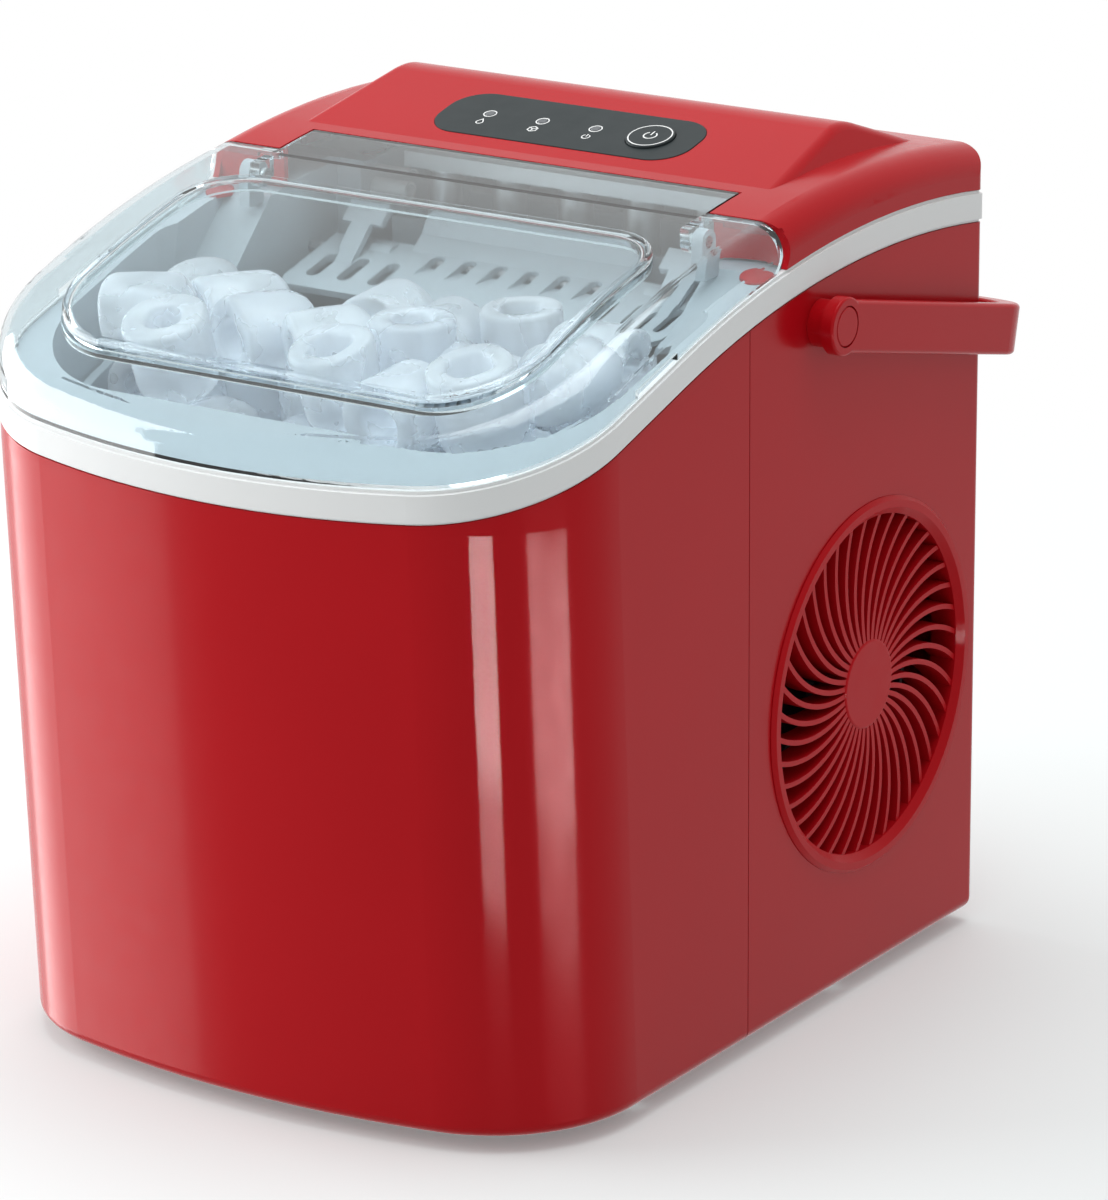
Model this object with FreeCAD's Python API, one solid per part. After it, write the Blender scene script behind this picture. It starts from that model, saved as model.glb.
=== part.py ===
# Countertop ice maker, modelled as the separate pieces it comes apart into.
# Millimetres, +Z up, the front faces -Y.  The pieces are built round the middle of the body and moved
# at the end, so that the origin is on the floor under the middle of the overall width and depth.
import FreeCAD
import Part
import os
from math import acos, asin, atan2, cos, degrees, hypot, pi, radians, sin, sqrt, tan

V = FreeCAD.Vector
X_AXIS = V(1, 0, 0)
Y_AXIS = V(0, 1, 0)
Z_AXIS = V(0, 0, 1)

# ---------------------------------------------------------------- driving dimensions
# body
body_width = 222.0
body_depth = 279.0
foot_height = 5.0
front_corner_radius = 52.6
rear_corner_radius = 4.0
front_bow = 19.25            # how far the middle of the front stands out past its corners
front_draft = 9.1            # how far the front leans in towards the floor
shell_wall = 2.4
shell_flange = 10.0          # inward flange round the bottom of the shells
shell_edge_radius = 4.0
seam_depth = 133.1           # front to the seam between front shell and rear housing
seam_gap = 0.4

# deck: the line along the top of the white trim, seen from the side
deck_front_height = 212.2
deck_slope = 17.2
deck_straight = 95.3         # straight run behind the front, before the deck levels out
deck_radius = 410.0
trim_height = 10.5
trim_wall = 2.6
trim_proud = 0.6
trim_edge_radius = 1.0
trim_joint = 0.15
trim_ledge = 3.2             # shelf inside the band that the tub rim rests on

# top cover
cover_front_depth = 154.2    # front of the body to the cover's front edge
roof_rise = 15.0             # cover's shoulder above the deck
roof_edge_radius = 10.0
cover_wall = 2.2
cover_joint = 0.2
hump_half_width = 91.5
hump_side_slope = 63.0
hump_start = 25.0            # cover's front edge to the foot of the hump's ramp
hump_ramp_angle = 13.2
hump_ramp_length = 45.0
hump_crest_radius = 25.0
hump_back_angle = 20.5
hump_edge_radius = 4.0

# lid
lid_gap = 0.8
lid_wall = 2.2
lid_slope = 5.7
lid_radius = 415.0
lid_edge_radius = 10.0
lid_joint = 0.6              # gap between the lid and the top cover
tongue_half_width = 82.2
tongue_length = 18.5
tongue_side_gap = 0.9
window_inset = 22.0
window_front_margin = 26.0
window_back_margin = 26.5
window_front_radius = 30.0
window_back_radius = 22.0
window_rise = 2.2
finger_slot_length = 22.0
finger_slot_height = 2.2
finger_slot_depth = 69.5     # front of the body to the slot's near end
hinge_depth = 144.3          # front of the body to the lid's hinge axis
hinge_drop = 4.6             # hinge axis below the inside of the roof
hinge_pin_radius = 2.0
hinge_boss_radius = 4.0
hinge_post_wall = 3.6
hinge_lug_wall = 4.0
running_clearance = 0.08

# handle
handle_pivot_depth = 174.4   # front of the body to the handle's pivot
handle_pivot_drop = 23.6     # pivot below the deck
handle_neck_radius = 7.7
handle_neck_length = 6.0
handle_eye_radius = 9.4
handle_arm_thickness = 4.4
handle_reach = 124.0         # pivot to the grip's outer face
handle_grip_thickness = 12.0
handle_grip_width = 17.0
handle_corner_radius = 16.0
handle_rest_angle = -13.4
handle_pin_radius = 4.0
handle_edge_radius = 1.6

# side grilles
vent_radius = 62.5
vent_rear_distance = 70.45
vent_height = 104.5
vent_rim_width = 6.0
vent_proud = 1.6
vent_depth = 10.0
vent_vanes = 40
vane_thickness = 1.7
vane_sweep = 16.0           # how far a vane bends back on its way in to the hub
vent_hub_radius = 15.0
vent_barrel_wall = 2.2
vent_clearance = 0.3

# well, bay and basket
well_half_width = 101.0
well_front_depth = 29.5      # front of the body to the well's front wall, at the rim
rim_thickness = 2.2
rim_drop = 0.8
well_wall = 2.0
well_floor_height = 106.0
well_draft = 7.0
well_corner_radius = 42.0
well_back_depth = 126.0      # front of the body to the well's rear wall
cheek_height = 20.0          # height of the sloping cheeks behind the well
bay_half_width = 83.6
bay_step_depth = 187.2       # front of the body to where the bay narrows for the tray
tray_bay_half_width = 74.0
bay_floor_height = 184.0
bay_floor_fall = 8.0
bay_back_depth = 265.0
basket_gap = 3.0
basket_wall = 1.8
basket_floor_height = 150.0
basket_top_drop = 24.0
basket_slot_width = 4.0
basket_slot_pitch = 10.0
basket_rest_height = 12.0

# ice shovel
shovel_pivot_depth = 172.0
shovel_plate_drop = 21.4     # plate above the pivot, below the deck
shovel_rod_drop = 3.6        # rod below the plate
shovel_half_width = 76.0
shovel_thickness = 2.4
shovel_slope = 14.5
shovel_reach = 31.0
shovel_slot_width = 5.2
shovel_slot_pitch = 12.2
shovel_slot_length = 24.0
shovel_rod_radius = 2.0
shovel_boss_radius = 4.6

# evaporator, tray and tray motor
finger_radius = 5.5
finger_length = 28.0
finger_pitch = 26.0
finger_row_gap = 18.0
evaporator_depth = 205.0     # front of the body to the front row of fingers
evaporator_height = 262.0
evaporator_plate = 5.0
tray_wall = 1.8
tray_height = 24.0
tray_overlap = 12.0          # how far the fingers dip into the tray
tray_margin = 13.0
tray_shaft_radius = 3.0
tray_motor_radius = 14.0
tray_motor_length = 17.0

# machine space
pan_thickness = 3.0
pan_rim = 12.0
pan_clearance = 0.6
compressor_radius = 46.0
compressor_height = 108.0
compressor_x = -26.0
compressor_depth = 224.0
grommet_height = 9.0
fan_radius = 44.0
fan_blades = 7
fan_motor_radius = 19.0
fan_motor_length = 26.0
shroud_thickness = 2.0
tube_radius = 3.0
screw_radius = 1.9
screw_head_radius = 3.8

# control panel
panel_width = 98.0
panel_depth = 29.6
panel_radius = 12.0
panel_thickness = 1.2
panel_start = 7.0            # foot of the ramp to the panel's near edge, along the ramp
button_radius = 8.2
button_x = 31.5
button_travel = 0.8
button_clearance = 0.25
lens_radius = 1.7
lens_pitch = 20.7
lens_first_x = -31.4
lens_above_middle = 0.6

# ---------------------------------------------------------------- derived lines
half_width = body_width / 2
front_y = -body_depth / 2
rear_y = body_depth / 2
seam_y = front_y + seam_depth
bow_radius = (half_width ** 2 + front_bow ** 2) / (2 * front_bow)
shell_bottom = foot_height
draft_top = deck_front_height - trim_height
bend_y = front_y + deck_straight
deck_centre_y = bend_y + deck_radius * sin(radians(deck_slope))
deck_bend_height = deck_front_height + deck_straight * tan(radians(deck_slope))
deck_centre_z = deck_bend_height - deck_radius * cos(radians(deck_slope))
reach = body_width + body_depth      # longer than anything that a cutting block crosses
ceiling = deck_front_height + reach


def deck_height(y):
    """Height of the deck line at y."""
    if y <= bend_y:
        return deck_front_height + (y - front_y) * tan(radians(deck_slope))
    return deck_centre_z + sqrt(deck_radius ** 2 - (y - deck_centre_y) ** 2)


cover_front_y = front_y + cover_front_depth
lid_rear_y = cover_front_y - lid_joint
lid_rear_z = deck_height(cover_front_y) + roof_rise
lid_centre_y = cover_front_y + lid_radius * sin(radians(lid_slope))
lid_centre_z = lid_rear_z - lid_radius * cos(radians(lid_slope))
hinge_y = front_y + hinge_depth
vent_y = rear_y - vent_rear_distance


def lid_height(y, drop=0.0):
    """Height of the lid's top surface at y, or of a surface that lies drop inside it."""
    return lid_centre_z + sqrt((lid_radius - drop) ** 2 - (y - lid_centre_y) ** 2)


hinge_z = lid_height(hinge_y) - lid_wall - hinge_drop


# ---------------------------------------------------------------- helpers
def fused(shapes):
    shapes = list(shapes)
    if len(shapes) == 1:
        return shapes[0]
    return shapes[0].multiFuse(shapes[1:]).removeSplitter()


def moved(shape, x=0.0, y=0.0, z=0.0):
    copy = shape.copy()
    copy.translate(V(x, y, z))
    return copy


def turned(shape, centre, axis, angle):
    copy = shape.copy()
    copy.rotate(centre, axis, angle)
    return copy


def mirrored(shape):
    """The same piece on the other side of the body's middle plane."""
    return shape.mirror(V(0, 0, 0), X_AXIS)


def both_sides(shape):
    return [shape, mirrored(shape)]


def box(x0, x1, y0, y1, z0, z1):
    return Part.makeBox(x1 - x0, y1 - y0, z1 - z0, V(x0, y0, z0))


def cylinder(radius, start, end):
    axis = V(*end) - V(*start)
    return Part.makeCylinder(radius, axis.Length, V(*start), axis)


def cone(radius_1, radius_2, start, end):
    axis = V(*end) - V(*start)
    return Part.makeCone(radius_1, radius_2, axis.Length, V(*start), axis)


def prism(wire, height):
    return Part.Face(wire).extrude(V(0, 0, height))


def polygon_prism(points, direction):
    """Extrude a closed outline of straight sides."""
    wire = Part.makePolygon([V(*p) for p in points] + [V(*points[0])])
    return Part.Face(wire).extrude(V(*direction))


def revolved(profile, origin, axis):
    """Turn a closed (radius, height) profile about an axis through origin."""
    axis = V(*axis)
    side = V(1, 0, 0) if abs(axis.x) < 0.5 else V(0, 1, 0)
    points = [V(*origin) + side * r + axis * h for r, h in profile]
    wire = Part.makePolygon(points + [points[0]])
    return Part.Face(wire).revolve(V(*origin), axis, 360)


def rounded(shape, radius, test):
    """Fillet the edges whose middle point passes the test."""
    chosen = []
    for edge in shape.Edges:
        middle = edge.valueAt((edge.FirstParameter + edge.LastParameter) / 2)
        if test(middle, edge):
            chosen.append(edge)
    return shape.makeFillet(radius, chosen) if chosen else shape


def length_along(edge, axis):
    return abs(edge.tangentAt((edge.FirstParameter + edge.LastParameter) / 2).dot(axis))


def slot_prism(length, width, height):
    """A stadium standing on the XY plane, long along Y, centred on the origin."""
    r = width / 2
    h = length / 2 - r
    edges = [Part.makeLine(V(r, -h, 0), V(r, h, 0)),
             Part.Arc(V(r, h, 0), V(0, h + r, 0), V(-r, h, 0)).toShape(),
             Part.makeLine(V(-r, h, 0), V(-r, -h, 0)),
             Part.Arc(V(-r, -h, 0), V(0, -h - r, 0), V(r, -h, 0)).toShape()]
    return prism(Part.Wire(edges), height)


def rounded_rectangle(half_x, y0, y1, radius_0, radius_1, z):
    """A rectangle in plan: corner radius_0 at y0 and radius_1 at y1."""
    edges = []
    s = sqrt(0.5)
    a, b = radius_0, radius_1
    x = half_x
    edges.append(Part.makeLine(V(x, y0 + a, z), V(x, y1 - b, z)))
    edges.append(Part.Arc(V(x, y1 - b, z), V(x - b + b * s, y1 - b + b * s, z), V(x - b, y1, z)).toShape())
    edges.append(Part.makeLine(V(x - b, y1, z), V(-x + b, y1, z)))
    edges.append(Part.Arc(V(-x + b, y1, z), V(-x + b - b * s, y1 - b + b * s, z), V(-x, y1 - b, z)).toShape())
    edges.append(Part.makeLine(V(-x, y1 - b, z), V(-x, y0 + a, z)))
    edges.append(Part.Arc(V(-x, y0 + a, z), V(-x + a - a * s, y0 + a - a * s, z), V(-x + a, y0, z)).toShape())
    edges.append(Part.makeLine(V(-x + a, y0, z), V(x - a, y0, z)))
    edges.append(Part.Arc(V(x - a, y0, z), V(x - a + a * s, y0 + a - a * s, z), V(x, y0 + a, z)).toShape())
    return Part.Wire(edges)


def bowed_outline(half, front, back, corner, bow, back_corner, z):
    """Plan outline: flat sides and back, round front corners, front bowed to radius bow."""
    bow_y = front + bow
    corner_x = half - corner
    corner_y = bow_y - sqrt((bow - corner) ** 2 - corner_x ** 2)
    join = atan2(corner_y - bow_y, corner_x)
    middle = join / 2
    s = sqrt(0.5)
    r = back_corner

    def at(x, y):
        return V(x, y, z)

    right = at(half, corner_y)
    bend = at(corner_x + corner * cos(middle), corner_y + corner * sin(middle))
    meet = at(bow * cos(join), bow_y + bow * sin(join))
    edges = [
        Part.makeLine(at(half, back - r), right),
        Part.Arc(right, bend, meet).toShape(),
        Part.Arc(meet, at(0, front), at(-meet.x, meet.y)).toShape(),
        Part.Arc(at(-meet.x, meet.y), at(-bend.x, bend.y), at(-half, corner_y)).toShape(),
        Part.makeLine(at(-half, corner_y), at(-half, back - r)),
        Part.Arc(at(-half, back - r), at(-half + r - r * s, back - r + r * s), at(-half + r, back)).toShape(),
        Part.makeLine(at(-half + r, back), at(half - r, back)),
        Part.Arc(at(half - r, back), at(half - r + r * s, back - r + r * s), at(half, back - r)).toShape()]
    return Part.Wire(edges)


def body_outline(inset, z):
    """The body's outline at height z, moved in by inset."""
    lean = front_draft * max(0.0, draft_top - z) / (draft_top - shell_bottom)
    return bowed_outline(half_width - inset, front_y + inset + lean, rear_y - inset,
                         front_corner_radius - inset, bow_radius - inset,
                         max(rear_corner_radius - inset, 0.8), z)


def body_form(inset, bottom, top):
    """The body's solid form between two heights; its front leans in below the deck."""
    low = body_outline(inset, bottom)
    if bottom >= draft_top:
        return prism(low, top - bottom)
    middle = body_outline(inset, min(top, draft_top))
    form = Part.makeLoft([low, middle], True, True)
    if top > draft_top:
        form = fused([form, prism(middle, top - draft_top)])
    return form


def deck_block(rise, above):
    """Everything above or below the deck line raised by rise."""
    y0 = front_y - reach / 4
    y1 = rear_y + deck_radius / 8
    middle_y = (bend_y + y1) / 2
    level = ceiling if above else -reach
    p0 = V(-reach, y0, deck_height(y0) + rise)
    p1 = V(-reach, bend_y, deck_height(bend_y) + rise)
    p2 = V(-reach, middle_y, deck_height(middle_y) + rise)
    p3 = V(-reach, y1, deck_height(y1) + rise)
    edges = [Part.makeLine(p0, p1), Part.Arc(p1, p2, p3).toShape(),
             Part.makeLine(p3, V(-reach, y1, level)),
             Part.makeLine(V(-reach, y1, level), V(-reach, y0, level)),
             Part.makeLine(V(-reach, y0, level), p0)]
    return Part.Face(Part.Wire(edges)).extrude(V(2 * reach, 0, 0))


def under_lid_surface(drop):
    """Everything below the lid's top surface, drop inside it."""
    y0 = front_y - lid_radius / 8
    y1 = cover_front_y + lid_radius / 8
    middle_y = (y0 + y1) / 2
    points = [V(-reach, y, lid_height(y, drop)) for y in (y0, middle_y, y1)]
    edges = [Part.Arc(*points).toShape(),
             Part.makeLine(points[2], V(-reach, y1, 0)),
             Part.makeLine(V(-reach, y1, 0), V(-reach, y0, 0)),
             Part.makeLine(V(-reach, y0, 0), points[0])]
    return Part.Face(Part.Wire(edges)).extrude(V(2 * reach, 0, 0))


def tube(points, radius, bend):
    """A tube along straight runs joined by tangent arcs of one bend radius."""
    points = [V(*p) for p in points]
    edges = []
    start = points[0]
    for before, corner, after in zip(points, points[1:], points[2:]):
        a = (before - corner).normalize()
        b = (after - corner).normalize()
        half_turn = (pi - a.getAngle(b)) / 2
        setback = bend * tan(half_turn)
        p, q = corner + a * setback, corner + b * setback
        middle = (a + b).normalize()
        mid_point = corner + middle * (bend / cos(half_turn) - bend)
        if (p - start).Length > 1e-6:
            edges.append(Part.makeLine(start, p))
        edges.append(Part.Arc(p, mid_point, q).toShape())
        start = q
    edges.append(Part.makeLine(start, points[-1]))
    path = Part.Wire(edges)
    direction = points[1] - points[0]
    circle = Part.Wire([Part.makeCircle(radius, points[0], direction)])
    return path.makePipeShell([circle], True, True)


def screw(x, y, z, length, direction=1):
    """A pan-head screw: head at z, shank running length in the given Z direction."""
    head = cylinder(screw_head_radius, (x, y, z), (x, y, z + direction * screw_radius))
    shank = cylinder(screw_radius, (x, y, z), (x, y, z + direction * length))
    return fused([head, shank])


form_top = deck_height(rear_y) + 4 * roof_rise
pan_bottom = shell_bottom + shell_wall + 0.2
pan_top = pan_bottom + pan_thickness
vent_barrel_radius = vent_radius - vent_rim_width + vent_barrel_wall
vent_hole_radius = vent_barrel_radius + vent_clearance
handle_y = front_y + handle_pivot_depth
handle_z = deck_height(handle_y) - handle_pivot_drop


# ---------------------------------------------------------------- outer shells
def shell(y0, y1):
    """The part of the hollow outer wall that lies between y0 and y1."""
    outer = body_form(0, shell_bottom, form_top)
    outer = rounded(outer, shell_edge_radius, lambda m, e: abs(m.z - shell_bottom) < 0.01)
    inner = body_form(shell_wall, shell_bottom + shell_wall, form_top + 1)
    mouth = prism(body_outline(shell_wall + shell_flange, shell_bottom - 1), shell_wall + 2)
    holes = [cylinder(screw_radius + 0.15, (x, y, 0), (x, y, pan_bottom)) for x, y in screw_centres()]
    wall = outer.cut([inner, mouth, deck_block(-trim_height - trim_joint, True)] + holes)
    return wall.common(box(-reach, reach, y0, y1, -reach, reach))


def front_shell():
    return shell(-reach, seam_y - seam_gap / 2)


seam_lip_width = 6.0
seam_lip_wall = 1.4
seam_lip_clearance = 0.15
louvre_count = 9
louvre_pitch = 9.0
louvre_width = 3.6
louvre_length = 92.0
louvre_height = 60.0
gland_x = -70.0
gland_height = 34.0
gland_radius = 6.5


def seam_lip():
    """A thin lip inside the rear housing that the front shell slides over."""
    grip = 0.6
    front = body_form(shell_wall + seam_lip_clearance, pan_top + pan_rim + 1, form_top)
    back = body_form(shell_wall - grip, pan_top + pan_rim + 1, form_top)
    core = body_form(shell_wall + seam_lip_wall, pan_top + pan_rim, form_top + 1)
    front = front.common(box(-reach, reach, seam_y - seam_lip_width, seam_y + seam_gap / 2 + 0.01, 0, form_top))
    back = back.common(box(-reach, reach, seam_y + seam_gap / 2, seam_y + seam_lip_width, 0, form_top))
    lip = fused([front.cut(core), back.cut(core)])
    return lip.cut(deck_block(-trim_height - trim_joint - 1, True))


def rear_housing():
    body = fused([shell(seam_y + seam_gap / 2, reach), seam_lip()])
    tools = [cylinder(vent_hole_radius, (-reach, vent_y, vent_height), (reach, vent_y, vent_height)),
             cylinder(handle_pin_radius + 0.1, (-reach, handle_y, handle_z), (reach, handle_y, handle_z)),
             cylinder(gland_radius, (gland_x, rear_y - 2 * shell_wall, gland_height),
                      (gland_x, rear_y + 1, gland_height))]
    for i in range(louvre_count):
        z = louvre_height + i * louvre_pitch
        slot = turned(slot_prism(louvre_length, louvre_width, 4 * shell_wall), V(0, 0, 0), X_AXIS, 90)
        slot = turned(slot, V(0, 0, 0), Y_AXIS, 90)
        tools.append(moved(slot, 0, rear_y + shell_wall, z))
    return body.cut(tools)


def trim_band():
    z = draft_top
    tall = form_top - z
    outer = prism(body_outline(-trim_proud, z), tall)
    core = prism(body_outline(trim_edge_radius - trim_proud, z), tall)
    band = outer.cut([deck_block(-trim_edge_radius, True), deck_block(trim_edge_radius - trim_height, False)])
    core = core.cut([deck_block(0, True), deck_block(-trim_height, False)])
    band = fused([band, core])
    hollow = prism(body_outline(trim_wall - trim_proud, z - 1), tall + 2)
    ledge_hollow = prism(body_outline(trim_wall - trim_proud + trim_ledge, z - 1), tall + 2)
    ledge_top = deck_block(-rim_drop - rim_thickness - trim_joint, True)
    return band.cut([ledge_hollow, hollow.common(ledge_top)])


# ---------------------------------------------------------------- top cover
def roof_block(inset):
    """Everything under the cover's shoulders, with the rolled edges along both sides."""
    block = deck_block(roof_rise - inset, False)
    block = block.common(box(inset - half_width, half_width - inset, cover_front_y - reach / 6,
                             rear_y + roof_edge_radius, deck_front_height, form_top))
    return rounded(block, roof_edge_radius - inset,
                   lambda m, e: abs(m.z - deck_height(m.y) - roof_rise + inset) < 0.05
                   and length_along(e, X_AXIS) < 0.1)


hump_foot_y = cover_front_y + hump_start
hump_foot_z = deck_height(hump_foot_y) + roof_rise


def hump_block(inset):
    """The raised control housing: ramp, rolled crest and sloping back, with drafted sides."""
    up, down = radians(hump_ramp_angle), radians(hump_back_angle)
    drop = inset / cos(up)
    ramp_end_y = hump_foot_y + hump_ramp_length * cos(up)
    ramp_end_z = hump_foot_z + hump_ramp_length * sin(up)
    crest_y = ramp_end_y + hump_crest_radius * sin(up)
    crest_z = ramp_end_z + hump_crest_radius * (1 - cos(up))
    back_y = crest_y + hump_crest_radius * sin(down)
    back_z = crest_z - hump_crest_radius * (1 - cos(down))
    below = hump_foot_z - 2 * roof_rise
    past = rear_y + 2 * roof_rise
    run = 2 * roof_rise

    def at(y, z):
        return V(-reach, y, z - drop)

    p0 = at(hump_foot_y - run * cos(up), hump_foot_z - run * sin(up))
    p1 = at(ramp_end_y, ramp_end_z)
    p2 = at(crest_y, crest_z)
    p3 = at(back_y, back_z)
    p4 = at(past, back_z - (past - back_y) * tan(down))
    edges = [Part.makeLine(p0, p1), Part.Arc(p1, p2, p3).toShape(), Part.makeLine(p3, p4),
             Part.makeLine(p4, V(-reach, past, below - reach)),
             Part.makeLine(V(-reach, past, below - reach), V(-reach, p0.y, below - reach)),
             Part.makeLine(V(-reach, p0.y, below - reach), p0)]
    profile = Part.Face(Part.Wire(edges)).extrude(V(2 * reach, 0, 0))
    slope = tan(radians(hump_side_slope))
    top = hump_foot_z + 3 * roof_rise

    def side(z):
        return hump_half_width - inset - (z - hump_foot_z) / slope

    low = hump_foot_z - roof_rise
    sides = polygon_prism([(-side(low), p0.y, low), (side(low), p0.y, low),
                           (side(top), p0.y, top), (-side(top), p0.y, top)], (0, past - p0.y, 0))
    hump = profile.common(sides)
    radius = max(hump_edge_radius - inset, 0.8)
    return rounded(hump, radius, lambda m, e: abs(m.x) > 10 and m.z > low + 1
                   and abs(abs(m.x) - side(m.z)) < 0.05 and abs(m.y - p0.y) > 1 and abs(m.y - past) > 1)


apron_depth = 9.0
apron_setback = 2.6
cover_valley_radius = 5.0


def cover_form(inset):
    outline = prism(body_outline(inset, draft_top), form_top - draft_top)
    body = fused([roof_block(inset), hump_block(inset)]).common(outline)
    body = body.cut([deck_block(cover_joint, False), box(-reach, reach, -reach, cover_front_y, 0, reach)])
    return body


def cover_shell():
    outer = cover_form(0)
    inner = cover_form(cover_wall)
    inner = fused([inner, moved(inner, 0, 0, -cover_wall)])
    ear_back = cover_front_y + apron_setback + cover_wall
    inner = inner.cut(box(-reach, reach, cover_front_y - 1, ear_back, 0, reach))
    cover = outer.cut(inner)
    # front wall of the ears, set back so that the lid's edge can swing down in front of it
    front = cover_front_y + apron_setback
    roof_at_front = deck_height(cover_front_y) + roof_rise - cover_wall
    cover = cover.cut(box(-half_width + cover_wall, half_width - cover_wall, cover_front_y - 1, front, 0,
                          roof_at_front))
    notch_half = tongue_half_width + tongue_side_gap
    notch_back = cover_front_y + tongue_length + lid_joint
    cover = cover.cut(box(-notch_half, notch_half, cover_front_y - 1, notch_back, 0, reach))
    return cover


# ---------------------------------------------------------------- lid
ear_sweep = hypot(lid_rear_y - hinge_y, lid_rear_z - hinge_z) + lid_joint / 2
tongue_back_y = cover_front_y + tongue_length
tongue_sweep = hypot(tongue_back_y - hinge_y, deck_height(tongue_back_y) + roof_rise - hinge_z) + lid_joint / 2
post_inner_x = tongue_half_width - 1.2
post_outer_x = post_inner_x + hinge_post_wall
lug_inner_x = post_outer_x + 0.6
lug_outer_x = lug_inner_x + hinge_lug_wall
ear_lip = 4.5
lid_open_angle = 75.0


def lid_form(inset):
    """The lid's solid form, moved in by inset, with its rolled top edge."""
    form = prism(body_outline(inset, draft_top), form_top - draft_top).common(under_lid_surface(inset))
    form = form.cut([box(-reach, reach, lid_rear_y - inset, reach, 0, reach),
                     box(-reach, reach, -reach, reach, 0, draft_top + lid_gap)])

    def on_top_edge(m, edge):
        return abs(m.z - lid_height(m.y, inset)) < 0.05 and m.y < lid_rear_y - inset - 0.05

    return rounded(form, lid_edge_radius - inset, on_top_edge)


def window_form(inset):
    """The raised field in the lid's top, moved in by inset."""
    y0 = front_y + window_front_margin + inset
    y1 = cover_front_y - window_back_margin - inset
    outline = rounded_rectangle(half_width - window_inset - inset, y0, y1,
                                window_front_radius - inset, window_back_radius - inset, draft_top)
    field = prism(outline, form_top - draft_top).common(under_lid_surface(inset - window_rise))
    field = field.cut(under_lid_surface(2 * lid_wall))
    top = inset - window_rise
    return rounded(field, window_rise - 0.6, lambda m, e: abs(m.z - lid_height(m.y, top)) < 0.05)


def deck_relief():
    """What the lid would push into the deck as it swings open, turned back to the closed pose."""
    steps = 5
    slab = deck_block(lid_gap / 2, False)
    slab = slab.common(box(tongue_half_width, half_width + 1, hinge_y - ear_sweep / 2, hinge_y + reach / 4,
                           0, form_top))
    slabs = []
    for i in range(steps):
        slabs += both_sides(turned(slab, V(0, hinge_y, hinge_z), X_AXIS, lid_open_angle * (i + 1) / steps))
    return slabs


def lid():
    tray = lid_form(0).cut(lid_form(lid_wall))
    tray = fused([tray, window_form(0)]).cut(window_form(lid_wall))
    skin = deck_block(roof_rise, False).cut(deck_block(roof_rise - lid_wall, False))
    tongue = skin.common(box(-tongue_half_width, tongue_half_width, lid_rear_y - lid_wall, tongue_back_y,
                             0, form_top))
    inner_z = lid_height(lid_rear_y) - lid_wall
    open_back = box(-post_inner_x, post_inner_x, lid_rear_y - 2 * lid_wall, reach, 0, inner_z)
    ears = box(-half_width + lid_wall, half_width - lid_wall, lid_rear_y - lid_wall - 0.1, reach, 0,
               inner_z + lid_wall - ear_lip)
    body = fused([tray.cut([open_back, ears]), tongue])
    posts = []
    for side in (1, -1):
        x0, x1 = sorted((side * post_inner_x, side * post_outer_x))
        post = box(x0, x1, hinge_y - hinge_boss_radius, hinge_y + hinge_boss_radius, hinge_z,
                   lid_height(hinge_y) - lid_wall / 2)
        posts += [post, cylinder(hinge_boss_radius, (x0, hinge_y, hinge_z), (x1, hinge_y, hinge_z))]
    body = fused([body] + posts)
    cuts = [deck_block(lid_gap, False),
            cylinder(hinge_pin_radius + running_clearance, (-half_width, hinge_y, hinge_z),
                     (half_width, hinge_y, hinge_z)).common(box(-lug_outer_x, lug_outer_x, -reach, reach, 0, reach))]
    cuts += deck_relief()
    lug_room = hinge_boss_radius + 0.6
    for side in (1, -1):
        x0, x1 = sorted((side * post_outer_x, side * (lug_outer_x + 0.6)))
        cuts.append(box(x0, x1, hinge_y, lid_rear_y + 1, 0, hinge_z + lug_room))
        slot = box(half_width - 2 * lid_wall, half_width + 1, 0, finger_slot_length, 0, ceiling)
        slot = moved(slot, 0, front_y + finger_slot_depth, 0).common(deck_block(lid_gap + finger_slot_height,
                                                                                  False))
        cuts.append(slot if side > 0 else mirrored(slot))
    return body.cut(cuts)


def hinge_pins():
    pin = cylinder(hinge_pin_radius, (post_inner_x - 0.6, hinge_y, hinge_z), (lug_outer_x, hinge_y, hinge_z))
    return both_sides(pin)


# ---------------------------------------------------------------- well, bay and basket
draft = tan(radians(well_draft))
well_back_y = front_y + well_back_depth
bay_step_y = front_y + bay_step_depth
bay_back_y = front_y + bay_back_depth
well_front_y = front_y + well_front_depth
rim_z = deck_height(well_front_y)
tray_axis_y = front_y + evaporator_depth + finger_row_gap + tray_margin + tray_shaft_radius + 0.5
tray_rim_z = evaporator_height - evaporator_plate - finger_length + tray_overlap
tray_axis_z = tray_rim_z + tray_shaft_radius
shovel_y = front_y + shovel_pivot_depth
shovel_z = deck_height(shovel_y) - shovel_plate_drop
rod_z = shovel_z - shovel_rod_drop
drain_x = -40.0
drain_y = -62.0
drain_radius = 5.0
spout_y = bay_step_y + 8.5
spout_z = tray_rim_z + 8.0
hose_radius = 3.2


def well_outline(grow, z):
    fall = (rim_z - z) * draft
    return rounded_rectangle(well_half_width - fall + grow, well_front_y + fall - grow, well_back_y + grow,
                             well_corner_radius + grow, 12 + grow, z)


def well_form(grow, bottom, top):
    return Part.makeLoft([well_outline(grow, bottom), well_outline(grow, top)], True, True)


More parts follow.
